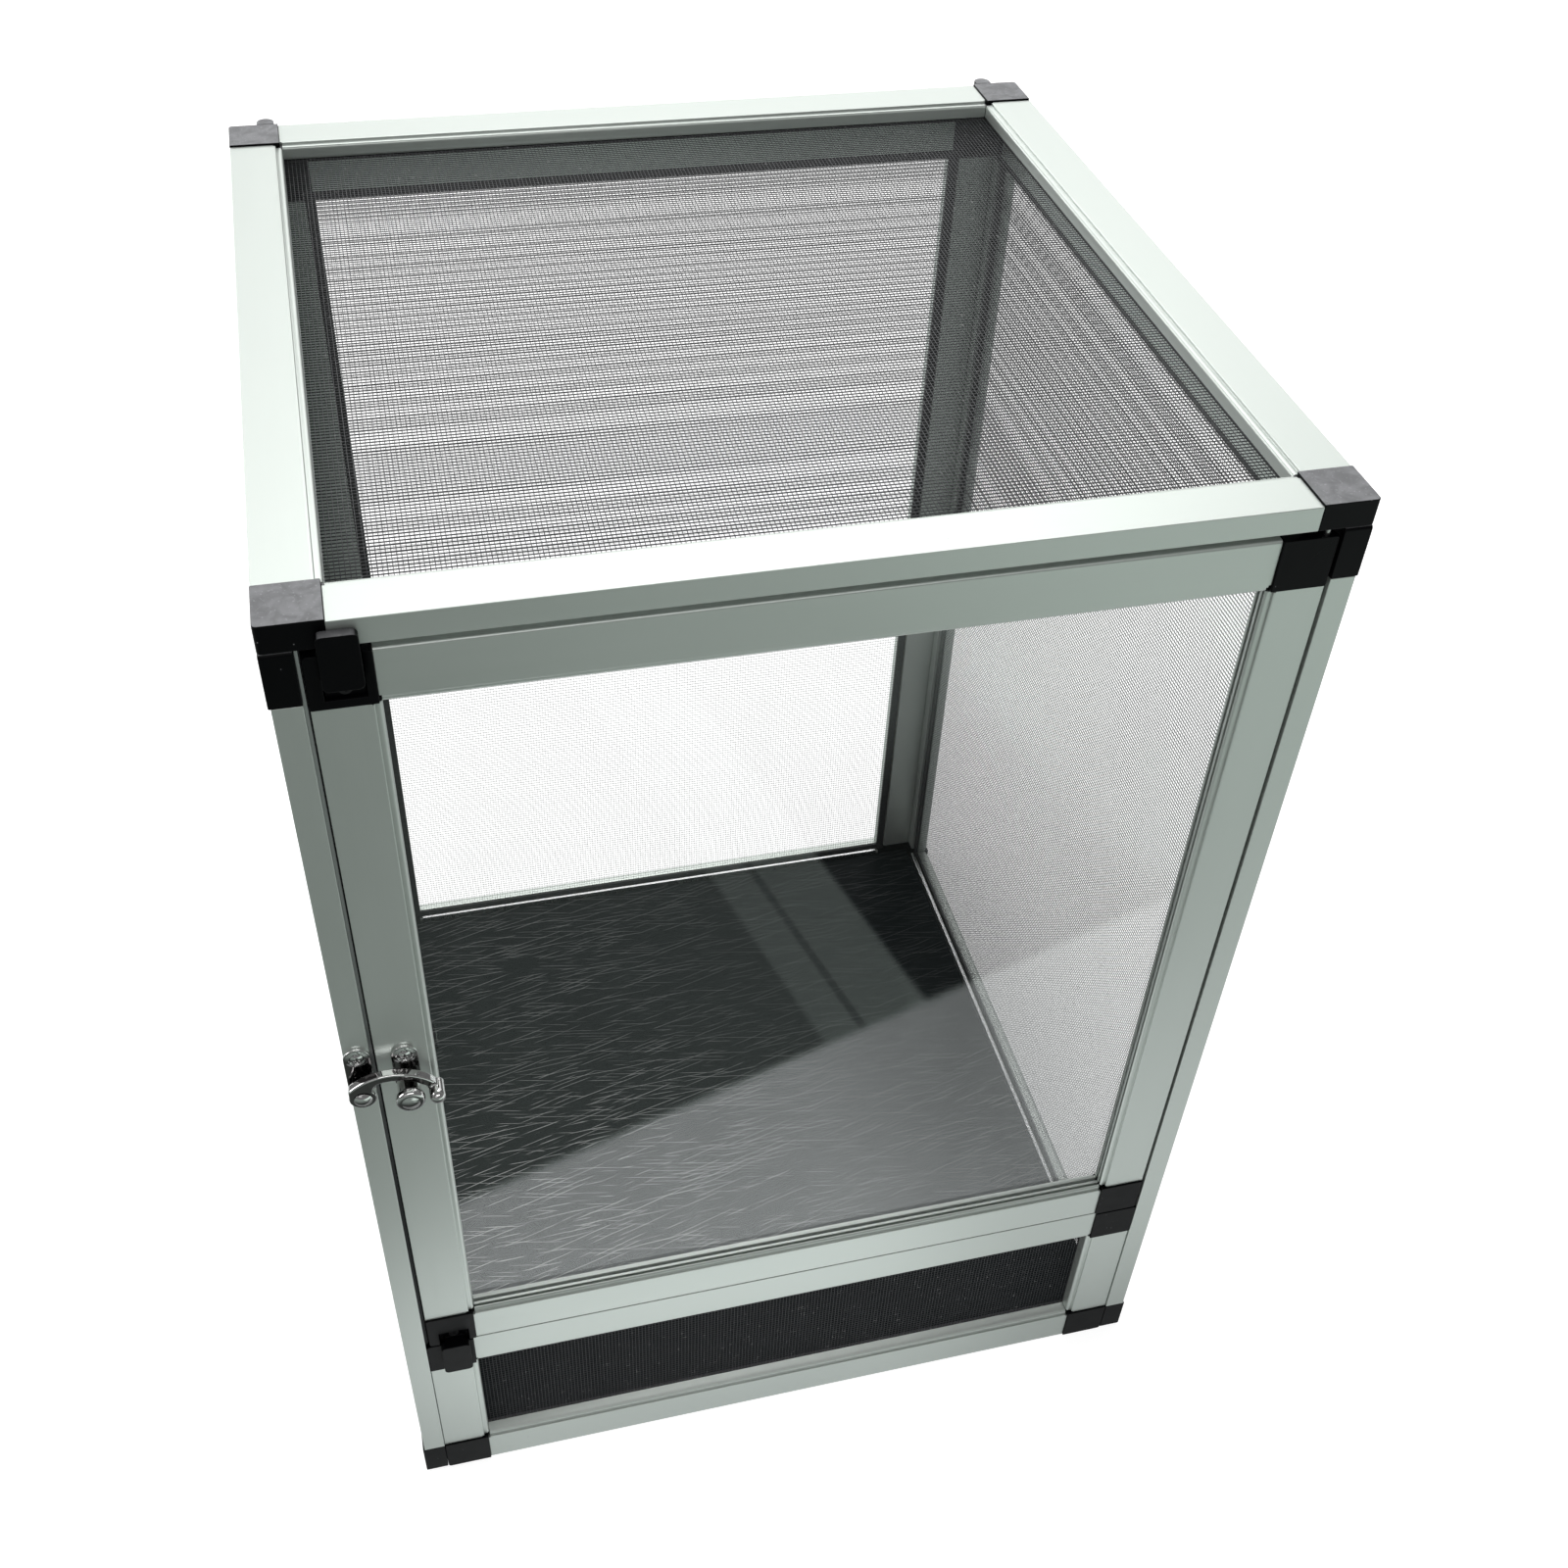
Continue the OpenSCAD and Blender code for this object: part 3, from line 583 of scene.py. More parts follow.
@dataclass(frozen=True)
class FloorLaminate(Finish):
    """Charcoal laminate: a satin film with fine wavy fibres, painted brighter on the left near the front
    as a pool of light.
    """

    runs: tuple[FibreRun, ...] = (
        FibreRun(-0.26, 120.0, 5.0, 1.0),
        FibreRun(0.20, 140.0, 5.0, 0.9),
        FibreRun(-0.04, 110.0, 6.0, 0.9),
    )
    dense_left: float = -0.14
    sparse_right: float = 0.10
    sparse_share: float = 0.20
    dense_front: float = -0.04
    sparse_back: float = 0.06
    back_share: float = 0.30
    bare_front: float = -0.135
    full_from: float = -0.11

    @property
    def title(self) -> str:
        """Name of the material."""
        return "floor_laminate"

    def _fibres(self, graph: Graph, run: FibreRun) -> Sock:
        """Draws thin wavy lines, broken into short lengths.

        Args:
            graph: The material's graph.
            run: The set of fibres to draw.

        Returns:
            The run's strength on a line and 0 beside it.
        """
        turned = graph.point(1.0, (0.0, 0.0, run.turn))
        point = graph.stretched(turned, (16.0, run.per_metre, 40.0))
        settings = {"wave_type": "BANDS", "bands_direction": "Y"}
        sockets = {"Vector": point, "Scale": 1.0, "Distortion": run.curl, "Detail": 2.0}
        waves = graph.node("ShaderNodeTexWave", settings, sockets, "Fac")
        lengths = graph.clouds(graph.stretched(turned, (32.0, 420.0, 40.0)), 2.0)
        return waves.between(0.955, 0.998) * lengths.between(0.52, 0.60) * run.strength

    def channels(self, graph: Graph) -> dict[str, Value]:
        """Gives the inputs: fibres on a mottled and rippled film.

        Args:
            graph: The material's graph.

        Returns:
            The shader's inputs by name.
        """
        drawn = [self._fibres(graph, run) for run in self.runs]
        fibres = functools.reduce(Sock.larger, drawn)
        across, back, _ = graph.parts(graph.point())
        # painted light: the fibres are painted brighter on the left and towards the front, where light
        # falls on the board
        left = across.between(self.sparse_right, self.dense_left)
        front = back.between(self.sparse_back, self.dense_front)
        fibres = fibres * (self.sparse_share + (1.0 - self.sparse_share) * left)
        fibres = fibres * back.between(self.bare_front, self.full_from)
        fibres = fibres * (self.back_share + (1.0 - self.back_share) * front)
        mottle = graph.clouds(graph.point((20.0, 90.0, 20.0)), 4.0)
        ripples = graph.clouds(graph.point((60.0, 420.0, 60.0)), 3.0, 0.8)
        film = graph.mixed(mottle, tone(0.0018, 0.0035, 0.0045), tone(0.005, 0.007, 0.008))
        film = graph.mixed(ripples.between(0.5, 0.75) * 0.3, film, tone(0.022, 0.026, 0.028))
        return {
            "Base Color": graph.mixed(fibres, film, tone(0.62, 0.63, 0.62)),
            "Specular IOR Level": 0.03,
            "Roughness": 0.36 + 0.16 * (mottle - 0.5) + 0.12 * fibres,
            "Normal": graph.bumped(fibres + 0.6 * ripples, 4e-5, 0.6),
        }


@dataclass(frozen=True)
class ClearPane(Finish):
    """Clear acrylic sheet that mirrors more towards a glancing view, with faint wiping marks."""

    facing_on: float = 0.0387
    steepness: float = 4.1

    @property
    def title(self) -> str:
        """Name of the material."""
        return "acrylic_pane"

    def channels(self, graph: Graph) -> dict[str, Value]:
        """Gives the inputs: a mirror that is clear except at a glancing view, with wiping marks.

        Args:
            graph: The material's graph.

        Returns:
            The shader's inputs by name.
        """
        slant = graph.node("ShaderNodeLayerWeight", {}, {"Blend": 0.5}, "Facing")
        mirror = self.facing_on + (1.0 - self.facing_on) * slant ** self.steepness
        wiped = graph.clouds(graph.point((30.0, 30.0, 7.0)), 4.0, 1.2).between(0.52, 0.80)
        return {
            "Base Color": tone(0.97, 0.985, 0.98),
            "Metallic": 1.0,
            "Roughness": 0.015 + 0.05 * wiped,
            "Alpha": mirror + 0.012 * wiped + 0.004,
        }


@dataclass(frozen=True)
class BrightNickel(Finish):
    """Polished plated latch metal, with painted reflections: dark on its upright faces and bright on top.
    """

    @property
    def title(self) -> str:
        """Name of the material."""
        return "bright_nickel"

    def channels(self, graph: Graph) -> dict[str, Value]:
        """Gives the inputs: a painted bright reflection on upward faces and a painted dark one on upright
        faces, rubbed a little.

        Args:
            graph: The material's graph.

        Returns:
            The shader's inputs by name.
        """
        rub = graph.clouds(graph.point(1100.0), 3.0)
        # painted reflection: upright faces are painted dark and upward faces bright, as a mirror sees a
        # dark room and a bright ceiling
        side = graph.mixed(rub, tone(0.08, 0.075, 0.075), tone(0.15, 0.145, 0.145))
        return {
            "Base Color": graph.mixed(graph.upward(-0.05, 0.40), side, tone(0.93, 0.93, 0.92)),
            "Metallic": 1.0,
            "Roughness": 0.03 + 0.05 * rub.between(0.45, 0.8),
        }


@dataclass(frozen=True)
class PlainSteel(Finish):
    """Turned steel pin with rings around it."""

    @property
    def title(self) -> str:
        """Name of the material."""
        return "plain_steel"

    def channels(self, graph: Graph) -> dict[str, Value]:
        """Gives the inputs: turning rings around the pin.

        Args:
            graph: The material's graph.

        Returns:
            The shader's inputs by name.
        """
        rings = graph.clouds(graph.point(Axis.Z.stretched(5000.0, 60.0)), 2.0)
        return {
            "Base Color": graph.mixed(rings, tone(0.42, 0.41, 0.40), tone(0.60, 0.59, 0.58)),
            "Metallic": 1.0,
            "Roughness": 0.28 + 0.2 * (rings - 0.5),
            "Normal": graph.bumped(rings, 1e-5, 0.5),
        }


@dataclass(frozen=True)
class BlackedSteel(Finish):
    """Near-black steel screws, paler in patches."""

    @property
    def title(self) -> str:
        """Name of the material."""
        return "blacked_steel"

    def channels(self, graph: Graph) -> dict[str, Value]:
        """Gives the inputs: a near-black that is paler in patches.

        Args:
            graph: The material's graph.

        Returns:
            The shader's inputs by name.
        """
        wear = graph.clouds(graph.point(800.0), 3.0)
        return {
            "Base Color": graph.mixed(wear, tone(0.012, 0.012, 0.013), tone(0.035, 0.035, 0.037)),
            "Metallic": 0.6,
            "Roughness": 0.45 + 0.2 * (wear - 0.5),
        }


@dataclass(frozen=True)
class PileBristle(Finish):
    """Black brush pile that fills a seam."""

    @property
    def title(self) -> str:
        """Name of the material."""
        return "pile_bristle"

    def channels(self, graph: Graph) -> dict[str, Value]:
        """Gives the inputs: dense dark hairs.

        Args:
            graph: The material's graph.

        Returns:
            The shader's inputs by name.
        """
        hairs = graph.clouds(graph.point((900.0, 900.0, 2600.0)), 3.0)
        return {
            "Base Color": graph.mixed(hairs, tone(0.008, 0.008, 0.009), tone(0.035, 0.036, 0.04)),
            "Roughness": 0.8,
            "Normal": graph.bumped(hairs, 1e-4, 0.8),
        }


# ---- Making pieces ----


def set_down(bm: bmesh.types.BMesh, name: str, finish: Finish, body: Body,
             stands_for: tuple[str, ...] = ()) -> bpy.types.Object:
    """Turns a bmesh into a finished piece that rides on a body.

    Args:
        bm: The mesh, in place, in metres. It is freed.
        name: Name of the piece.
        finish: Its finish.
        body: The body that it rides on.
        stands_for: The CAD nodes that it replaces.

    Returns:
        The piece.
    """
    mesh = bpy.data.meshes.new(name)
    bm.to_mesh(mesh)
    bm.free()
    piece = bpy.data.objects.new(name, mesh)
    bpy.context.scene.collection.objects.link(piece)
    mesh.materials.append(finish.material())
    mesh.shade_smooth()
    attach(piece, body.value)
    if stands_for:
        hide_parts(*stands_for)
    log.info("%s: %d faces on %s", name, len(mesh.polygons), body.value)
    return piece


@dataclass(frozen=True)
class EdgeBreak:
    """Finishes a CAD part with its sharp edges broken, as drawn and moulded parts have them."""

    width: float = 0.25 * MM
    segments: int = 2
    sharp_from: float = math.radians(30.0)
    flat_below: float = math.radians(0.5)
    merge_within: float = 0.001 * MM

    def finish(self, node: str, finish: Finish, body: Body, slot: Slot) -> bpy.types.Object:
        """Makes the finished part in place of its CAD node.

        Args:
            node: Name of the CAD node.
            finish: The part's finish.
            body: The body that it rides on.
            slot: The record's slot that its finish belongs to. Not used.

        Returns:
            The finished part.
        """
        bm = bmesh.new()
        bm.from_mesh(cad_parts[node].data)
        bmesh.ops.remove_doubles(bm, verts=bm.verts, dist=self.merge_within)
        bmesh.ops.dissolve_limit(bm, angle_limit=self.flat_below, verts=bm.verts, edges=bm.edges)
        bmesh.ops.recalc_face_normals(bm, faces=bm.faces)
        piece = set_down(bm, f"{node}.finished", finish, body, (node,))
        piece.data.set_sharp_from_angle(angle=self.sharp_from)
        if self.width:
            edge = piece.modifiers.new("broken_edges", "BEVEL")
            edge.width = self.width
            edge.segments = self.segments
            edge.limit_method = "ANGLE"
            edge.angle_limit = self.sharp_from
            edge.use_clamp_overlap = False
            edge.harden_normals = True
        return piece


@dataclass(frozen=True)
class Weave:
    """Spacing of a mesh's wires along its first and second axis, and their radii."""

    pitch_wide: float
    pitch_high: float
    upright_r: float
    level_r: float


@dataclass
class WovenSheet:
    """Fly mesh: two layers of fine wires, fused where they cross."""

    node: str
    weave: Weave
    layer: float = 0.055 * MM
    sides: int = 6
    spans: int = 8
    wander: float = 0.08 * MM
    held_within: float = 20 * MM
    slow_wave: float = 26.0
    quick_wave: float = 90.0

    def _lay(self, bm: bmesh.types.BMesh, run: Axis, step: Axis, pitch: float, radius: float,
             lift: float) -> None:
        """Lays one layer of wires.

        Args:
            bm: The mesh to add to.
            run: Axis along which the wires run.
            step: Axis along which they are spaced.
            pitch: Distance from wire to wire.
            radius: Radius of the wires.
            lift: Height of the layer above the sheet's middle.
        """
        low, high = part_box(self.node)
        middle = (low + high) / 2
        length = high[run.value] - low[run.value]
        room = high[step.value] - low[step.value] - 2 * self.wander - 2 * radius
        count = int(room / pitch)
        turn = Vector((0, 0, 1)).rotation_difference(run.unit).to_matrix().to_4x4()
        for i in range(count + 1):
            place = middle.copy()
            place[step.value] += (i - count / 2) * pitch
            place[Axis.thinnest(self.node).value] += lift
            bmesh.ops.create_cone(bm, cap_ends=True, segments=self.sides, radius1=radius,
                                  radius2=radius, depth=length,
                                  matrix=Matrix.Translation(place) @ turn)

    def _stray(self, bm: bmesh.types.BMesh) -> None:
        """Lets the wires wander a little in the sheet's plane, less towards its edges.

        Args:
            bm: The mesh to move.
        """
        low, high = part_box(self.node)
        thin = Axis.thinnest(self.node).value
        for vert in bm.verts:
            gaps = [min(vert.co[i] - low[i], high[i] - vert.co[i]) for i in range(3) if i != thin]
            ease = max(0.0, min(1.0, min(gaps) / self.held_within))
            move = noise.noise_vector(vert.co * self.slow_wave)
            move += 0.5 * noise.noise_vector(vert.co * self.quick_wave)
            move[thin] = 0.0
            vert.co += move * self.wander * ease

    def build(self) -> bpy.types.Object:
        """Makes the sheet in place of its CAD node.

        Returns:
            The woven sheet.
        """
        thin = Axis.thinnest(self.node)
        wide, high = [axis for axis in Axis if axis is not thin]
        bm = bmesh.new()
        weave = self.weave
        self._lay(bm, high, wide, weave.pitch_wide, weave.upright_r, self.layer)
        self._lay(bm, wide, high, weave.pitch_high, weave.level_r, -self.layer)
        long_edges = [edge for edge in bm.edges if edge.calc_length() > self.held_within]
        bmesh.ops.subdivide_edges(bm, edges=long_edges, cuts=self.spans - 1)
        self._stray(bm)
        name = f"{self.node}.woven"
        return set_down(bm, name, CoatedWire(), Body.ENCLOSURE, (self.node,))


# ---- Sub-assemblies ----


@dataclass
class MeshPanel:
    """A fixed panel: four bars, four corner pieces, woven mesh and its spline."""

    name: str
    bars: tuple[str, ...]
    weave: Weave
    bar_edge: EdgeBreak = EdgeBreak(0.25 * MM)
    corner_edge: EdgeBreak = EdgeBreak(0.35 * MM)

    def dress_bars(self) -> None:
        """Finishes the bars, each with its grain along its length."""
        for bar in self.bars:
            node = f"{self.name}_{bar}"
            self.bar_edge.finish(node, SatinAluminium(Axis.longest(node)), Body.ENCLOSURE, Slot.BAR)

    def dress_corners(self) -> None:
        """Finishes the corner pieces."""
        node = f"{self.name}_corners"
        self.corner_edge.finish(node, MouldedPlastic(), Body.ENCLOSURE, Slot.PLASTIC)

    def dress_spline(self) -> None:
        """Finishes the spline."""
        node = f"{self.name}_spline"
        finish = SplineRubber(Axis.longest(node))
        EdgeBreak(0.0).finish(node, finish, Body.ENCLOSURE, Slot.SPLINE)

    def build(self) -> None:
        """Builds the whole panel."""
        self.dress_bars()
        self.dress_corners()
        self.dress_spline()
        WovenSheet(f"{self.name}_mesh", self.weave).build()
        log.info("panel %s is built", self.name)


@dataclass
class Door:
    """The hinged door: four bars with ribs, corner pieces, a clear pane and two stop clips."""

    bars: tuple[str, ...] = ("left_stile", "right_stile", "upper_rail", "lower_rail")
    bar_edge: EdgeBreak = EdgeBreak(0.2 * MM)
    corner_edge: EdgeBreak = EdgeBreak(0.3 * MM)
    clip_edge: EdgeBreak = EdgeBreak(0.35 * MM)

    def dress_frame(self) -> None:
        """Finishes the bars and the corner pieces."""
        for bar in self.bars:
            node = f"door_{bar}"
            self.bar_edge.finish(node, SatinAluminium(Axis.longest(node)), Body.DOOR, Slot.BAR)
        self.corner_edge.finish("door_corners", MouldedPlastic(), Body.DOOR, Slot.PLASTIC)

    def dress_pane(self) -> None:
        """Finishes the clear pane."""
        EdgeBreak(0.15 * MM).finish("door_pane", ClearPane(), Body.DOOR, Slot.PANE)

    def dress_clips(self) -> None:
        """Finishes the stop clips and their screws."""
        for node in ("upper_stop_clip", "lower_stop_clip"):
            self.clip_edge.finish(node, MouldedPlastic(0.4), Body.DOOR, Slot.PLASTIC)
        EdgeBreak(0.08 * MM).finish("clip_screws", BlackedSteel(), Body.DOOR, Slot.LATCH)

    def build(self) -> None:
        """Builds the whole door."""
        self.dress_frame()
        self.dress_pane()
        self.dress_clips()
        log.info("the door is built")


@dataclass
class FloorTray:
    """The floor board and the bright ledges that carry it."""

    board_edge: EdgeBreak = EdgeBreak(0.2 * MM)
    ledge_edge: EdgeBreak = EdgeBreak(0.15 * MM)

    def build(self) -> None:
        """Finishes the board and its ledges."""
        self.board_edge.finish("floor_board", FloorLaminate(), Body.ENCLOSURE, Slot.BOARD)
        self.ledge_edge.finish("floor_ledges", MillAluminium(Axis.Y), Body.ENCLOSURE, Slot.BAR)
        log.info("the floor is built")


@dataclass
class Latch:
    """The hook latch: post plate, pivot and hook, and on the door keeper plate and stud."""

    plate_edge: EdgeBreak = EdgeBreak(0.3 * MM, 3)
    hook_edge: EdgeBreak = EdgeBreak(0.7 * MM, 3)
    screw_edge: EdgeBreak = EdgeBreak(0.08 * MM)

    def build(self) -> None:
        """Finishes the latch's parts on the bodies that carry them."""
        nickel = BrightNickel()
        for node, body, edge in (
            ("post_plate", Body.ENCLOSURE, self.plate_edge),
            ("post_screw", Body.ENCLOSURE, self.screw_edge),
            ("hook_pivot", Body.ENCLOSURE, self.screw_edge),
            ("latch_hook", Body.HOOK, self.hook_edge),
            ("keeper_plate", Body.DOOR, self.plate_edge),
            ("keeper_screw", Body.DOOR, self.screw_edge),
            ("keeper_stud", Body.DOOR, self.screw_edge),
        ):
            edge.finish(node, nickel, body, Slot.LATCH)
        log.info("the latch is built")


@dataclass
class Fittings:
    """Small parts of the enclosure: lugs, pegs, hinge pins and the stop strip with its pile."""

    pile_x: float = -163.72 * MM
    pile_w: float = 0.34 * MM
    pile_d: float = 6.0 * MM
    tuft_l: float = 1.9 * MM
    tuft_pitch: float = 2.6 * MM
    tuft_edge: float = 0.1 * MM
    set_back: float = 0.5 * MM
    end_gap: float = 2 * MM

    def build_pile(self) -> bpy.types.Object:
        """Makes the brush pile in the seam on the latch side, as a row of flat tufts.

        Returns:
            The row of tufts.
        """
        low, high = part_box("door_stop_strip")
        front = low.y + self.set_back
        bm = bmesh.new()
        count = int((high.z - low.z - 2 * self.end_gap) / self.tuft_pitch)
        middle_z = (low.z + high.z) / 2
        for i in range(count + 1):
            z = middle_z + (i - count / 2) * self.tuft_pitch
            place = Vector((self.pile_x, front + self.pile_d / 2, z))
            size = Matrix.Diagonal((self.pile_w, self.pile_d, self.tuft_l, 1.0))
            bmesh.ops.create_cube(bm, size=1.0, matrix=Matrix.Translation(place) @ size)
        near = front + self.tuft_edge
        front_edges = [edge for edge in bm.edges if all(vert.co.y < near for vert in edge.verts)]
        bmesh.ops.bevel(bm, geom=front_edges, offset=self.tuft_edge, segments=1, affect="EDGES",
                        profile=0.5, material=-1)
        return set_down(bm, "seam_pile", PileBristle(), Body.ENCLOSURE)

    def build(self) -> None:
        """Builds the pile and finishes the small parts."""
        for node, width, finish, slot in (
            ("rear_lugs", 0.3 * MM, MouldedPlastic(), Slot.PLASTIC),
            ("panel_pegs", 0.3 * MM, MouldedPlastic(0.0), Slot.PLASTIC),
            ("hinge_pins", 0.1 * MM, PlainSteel(), Slot.STEEL),
            ("door_stop_strip", 0.1 * MM, SeamAluminium(Axis.Z), Slot.BAR),
        ):
            EdgeBreak(width).finish(node, finish, Body.ENCLOSURE, slot)
        self.build_pile()
        log.info("the fittings are built")


# ---- Studio ----


@dataclass(frozen=True)
class Softbox:
    """A rectangular lamp that points at a spot."""

    name: str
    place: tuple[float, float, float]
    aim: tuple[float, float, float]
    size: tuple[float, float]
    radiance: float

    def build(self) -> bpy.types.Object:
        """Makes the lamp, with its power worked out from its radiance.

        Returns:
            The lamp.
        """
        light = bpy.data.lights.new(self.name, "AREA")
        light.shape = "RECTANGLE"
        light.size, light.size_y = self.size
        light.energy = self.radiance * math.pi * self.size[0] * self.size[1]
        lamp = bpy.data.objects.new(self.name, light)
        bpy.context.scene.collection.objects.link(lamp)
        lamp.location = self.place
        lamp.rotation_mode = "QUATERNION"
        lamp.rotation_quaternion = (Vector(self.aim) - lamp.location).to_track_quat("-Z", "Y")
        lamp.visible_camera = False
        return lamp


@dataclass(frozen=True)
class Fade:
    """A smooth change of brightness from one place on the ground to another."""

    start: float
    end: float
    change: float

    def over(self, place: Sock) -> Sock:
        """The brightness at a place, as a share of that before the start."""
        return 1.0 + self.change * place.between(self.start, self.end)


@dataclass(frozen=True)
class MirroredGround:
    """What glossy surfaces see of the ground: a white table top, and a grey floor in front."""

    table_white: float = 1.35
    table_tint: tuple = tone(0.96, 1.0, 1.0)
    table_front: float = 0.3490
    table_slant: float = 0.2839
    edge_blur: float = 0.004
    right_loss: Fade = Fade(0.04, 0.16, -0.35)
    left_loss: Fade = Fade(-0.12, -0.20, -0.30)
    cage_loss: Fade = Fade(-0.26, -0.18, -0.45)
    rear_gain: Fade = Fade(0.22, 0.50, 0.8)
    floor_grey: float = 0.22
    floor_tint: tuple = tone(0.90, 1.03, 0.96)
    cloth_turn: tuple[float, float] = (0.970, -0.242)
    cloth_front: float = 0.522
    cloth_edge: tuple[float, float] = (0.034, 0.040)
    cloth_gain: float = 0.20
    crease_at: float = 0.063
    crease_half: tuple[float, float] = (0.004, 0.001)
    crease_share: float = 0.9
    alcove_near: tuple[float, float] = (0.104, 0.110)
    alcove_far: tuple[float, float] = (0.32, 0.26)
    alcove_loss: float = 0.38
    pale_across: tuple[float, float] = (-0.05, 0.10)
    pale_along: tuple[float, float] = (-0.56, -0.68)
    pale_gain: float = 0.28

    def _table(self, x: Sock, y: Sock) -> Sock:
        """How bright the table top is.

        Args:
            x: Place on the ground, from left to right.
            y: Place on the ground, from front to back.

        Returns:
            The brightness: full along the front, less around the cage and more behind it.
        """
        across = self.right_loss.over(x) * self.left_loss.over(x)
        along = self.cage_loss.over(y) * self.rear_gain.over(y)
        return self.table_white * across * along

    def _floor(self, x: Sock, y: Sock) -> Sock:
        """How bright the floor in front of the table is.

        Args:
            x: Place on the ground, from left to right.
            y: Place on the ground, from front to back.

        Returns:
            The brightness: grey, with a creased pale cloth, a band of painted shade and a pale patch.
        """
        cloth = self.cloth_turn[0] * x + self.cloth_turn[1] * (y + self.cloth_front)
        crease = abs(cloth - self.crease_at).between(*self.crease_half)
        lit = cloth.between(*self.cloth_edge) - self.crease_share * crease
        # painted shade: a band of the floor that mirrors see is painted darker
        alcove = cloth.between(*self.alcove_near) * cloth.between(*self.alcove_far)
        pale = x.between(*self.pale_across) * y.between(*self.pale_along)
        ground = self.floor_grey + self.cloth_gain * lit
        return ground - self.alcove_loss * alcove + self.pale_gain * pale

    def sockets(self, graph: Graph) -> dict[str, Sock]:
        """Joins table top and floor along the table's slanted front edge.

        Args:
            graph: The graph of the ground's material.

        Returns:
            The colour and the strength of the light that the ground sends to glossy surfaces.
        """
        x, y, _ = graph.parts(graph.point())
        edge = y + self.table_front + self.table_slant * x
        table = edge.between(-self.edge_blur, self.edge_blur)
        strength = table * self._table(x, y) + (1.0 - table) * self._floor(x, y)
        return {"Color": graph.mixed(table, self.floor_tint, self.table_tint), "Strength": strength}


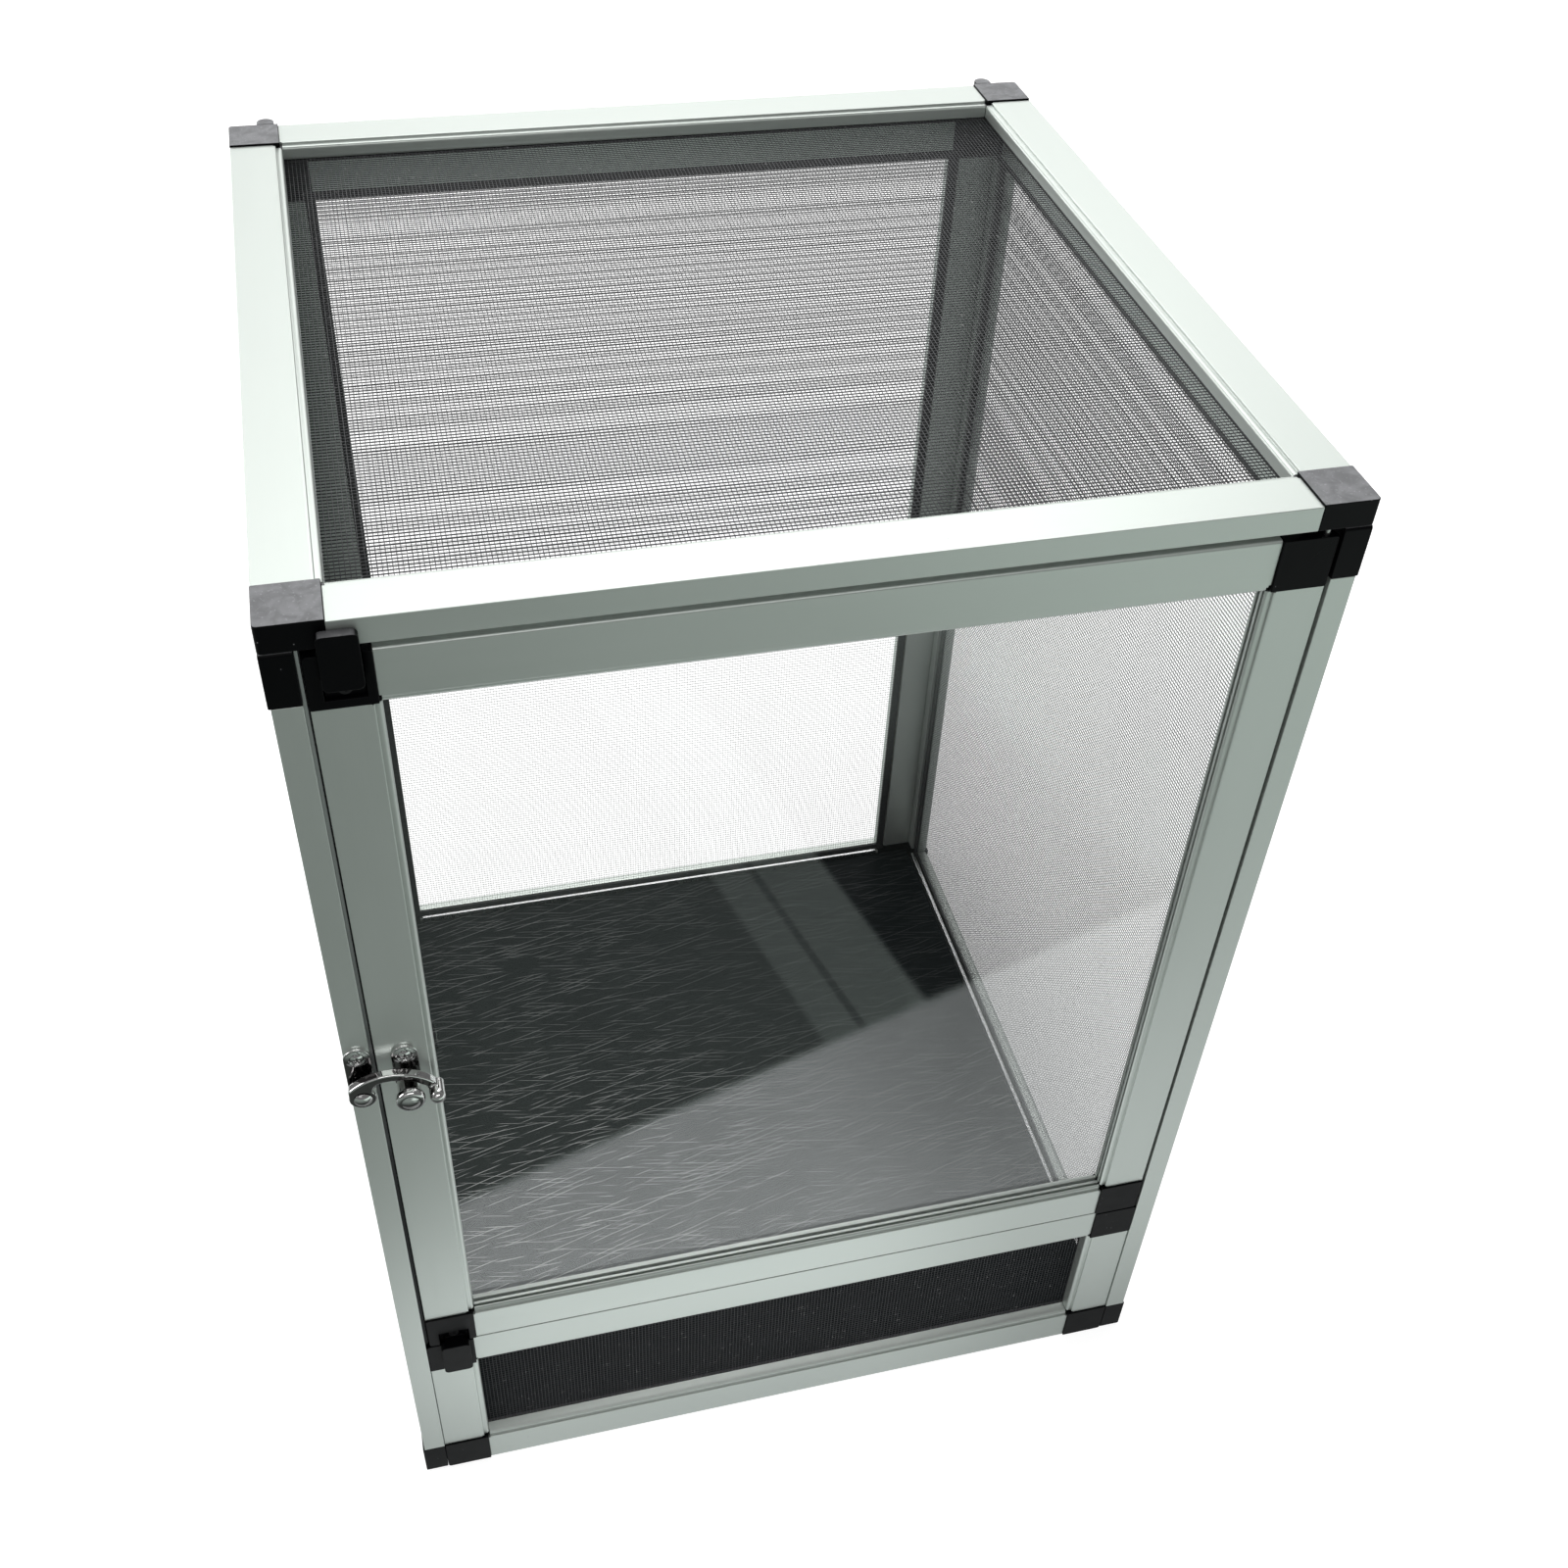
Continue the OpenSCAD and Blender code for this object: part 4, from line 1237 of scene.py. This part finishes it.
@dataclass
class Studio:
    """A white table in a grey room, with soft light from above and behind, and the camera."""

    half_floor: float = 5.0
    below: float = 0.2 * MM
    ground: MirroredGround = MirroredGround()
    lighting_grey: float = 0.75
    shown_grey: float = 0.42
    shown_glow: float = 0.82
    room_light: float = 0.50
    room_mirrored: float = 0.14
    lens: float = 40.128
    eye: tuple[float, float, float] = (-0.1364486, -0.5832071, 0.8029077)
    right: tuple[float, float, float] = (0.96939342, -0.24226542, 0.03979775)
    up: tuple[float, float, float] = (0.13588548, 0.66444861, 0.73487630)
    ahead: tuple[float, float, float] = (0.20447867, 0.70697632, -0.67703247)
    lamps: tuple[Softbox, ...] = (
        Softbox("overhead", (0.1, 1.0, 2.0), (0.1, 1.0, 0.0), (1.6, 1.2), 3.0),
        Softbox("window", (1.5, 4.2, 2.9), (0.0, 0.0, 0.4), (4.8, 2.8), 1.6),
        Softbox("doorway", (-1.9, 3.2, 0.9), (0.0, 0.0, 0.45), (2.6, 1.8), 3.5),
        Softbox("crest", (0.0, -1.35, 1.70), (0.0, -0.17, 0.35), (1.4, 0.45), 2.5),
        Softbox("fill", (-0.9, -1.7, 1.3), (0.0, 0.0, 0.25), (1.0, 1.0), 0.3),
        Softbox("side", (-2.6, 0.5, 1.4), (0.0, 0.0, 0.3), (1.6, 1.6), 4.5),
    )

    def _floor(self) -> bpy.types.Object:
        """Makes the floor, with one look for the camera, one for mirrors and one for light.

        Returns:
            The floor.
        """
        bm = bmesh.new()
        bmesh.ops.create_grid(bm, x_segments=4, y_segments=4, size=self.half_floor,
                              matrix=Matrix.Translation((0.0, 0.0, -self.below)))
        mesh = bpy.data.meshes.new("studio_floor")
        bm.to_mesh(mesh)
        bm.free()
        floor = bpy.data.objects.new("studio_floor", mesh)
        bpy.context.scene.collection.objects.link(floor)
        paint = bpy.data.materials.new("studio_white")
        paint.use_nodes = True
        graph = Graph(paint.node_tree)
        path = graph.node("ShaderNodeLightPath", out="Is Camera Ray")
        seen = path.larger(path.output("Is Transmission Ray"))
        card, matt = [
            graph.node("ShaderNodeBsdfDiffuse", {}, {"Color": tone(grey, grey, grey)})
            for grey in (self.lighting_grey, self.shown_grey)
        ]
        glow = graph.node("ShaderNodeEmission", {}, {"Strength": self.shown_glow})
        shown = graph.node("ShaderNodeAddShader", {}, {0: matt, 1: glow})
        mirrored = graph.node("ShaderNodeEmission", {}, self.ground.sockets(graph))
        mixed = graph.node("ShaderNodeMixShader", {}, {0: seen, 1: card, 2: shown})
        mixed = graph.node("ShaderNodeMixShader", {},
                           {0: path.output("Is Glossy Ray"), 1: mixed, 2: mirrored})
        graph.node("ShaderNodeOutputMaterial", {}, {"Surface": mixed})
        mesh.materials.append(paint)
        return floor

    def _room(self) -> None:
        """Sets the world: white behind the object, grey as a light and dark grey in mirrors."""
        world = bpy.data.worlds.new("studio_room")
        world.use_nodes = True
        graph = Graph(world.node_tree)
        path = graph.node("ShaderNodeLightPath", out="Is Camera Ray")
        seen = path.larger(path.output("Is Transmission Ray"))
        strength = self.room_light + (1.0 - self.room_light) * seen
        dimmed = self.room_light - self.room_mirrored
        strength = strength - dimmed * path.output("Is Glossy Ray")
        backdrop = graph.node("ShaderNodeBackground", {},
                              {"Color": tone(1.0, 1.0, 1.0), "Strength": strength})
        graph.node("ShaderNodeOutputWorld", {}, {"Surface": backdrop})
        bpy.context.scene.world = world

    def _camera(self) -> None:
        """Sets up the camera."""
        data = bpy.data.cameras.new("viewer")
        data.lens = self.lens
        data.sensor_width = 36.0
        data.clip_start, data.clip_end = 0.01, 50.0
        camera = bpy.data.objects.new("viewer", data)
        bpy.context.scene.collection.objects.link(camera)
        columns = Matrix((self.right, self.up, -Vector(self.ahead))).transposed()
        camera.matrix_world = Matrix.Translation(self.eye) @ columns.to_4x4()
        bpy.context.scene.camera = camera

    def build(self) -> None:
        """Builds floor, room, lamps and camera."""
        self._camera()
        self._floor()
        self._room()
        for lamp in self.lamps:
            lamp.build()
        bpy.context.scene.view_settings.view_transform = "Standard"
        log.info("the studio is set")


def main() -> None:
    """Builds the terrarium and the studio around it."""
    logging.basicConfig(level=logging.INFO, format="%(name)s: %(message)s")
    around = ("front_rail", "rear_rail", "left_rail", "right_rail")
    posts = ("front_post", "rear_post", "upper_rail", "lower_rail")
    stiles = ("left_stile", "right_stile", "upper_rail", "lower_rail")
    side_weave = Weave(1.64 * MM, 1.78 * MM, 0.09 * MM, 0.20 * MM)
    Studio().build()
    for name, bars, weave in (
        ("top", around, Weave(1.55 * MM, 1.85 * MM, 0.14 * MM, 0.22 * MM)),
        ("left", posts, side_weave),
        ("right", posts, side_weave),
        ("back", stiles, Weave(1.53 * MM, 1.79 * MM, 0.07 * MM, 0.10 * MM)),
        ("vent", stiles, Weave(1.55 * MM, 1.89 * MM, 0.13 * MM, 0.13 * MM)),
    ):
        MeshPanel(name, bars, weave).build()
    Door().build()
    FloorTray().build()
    Latch().build()
    Fittings().build()


if __name__ == "__main__":
    main()
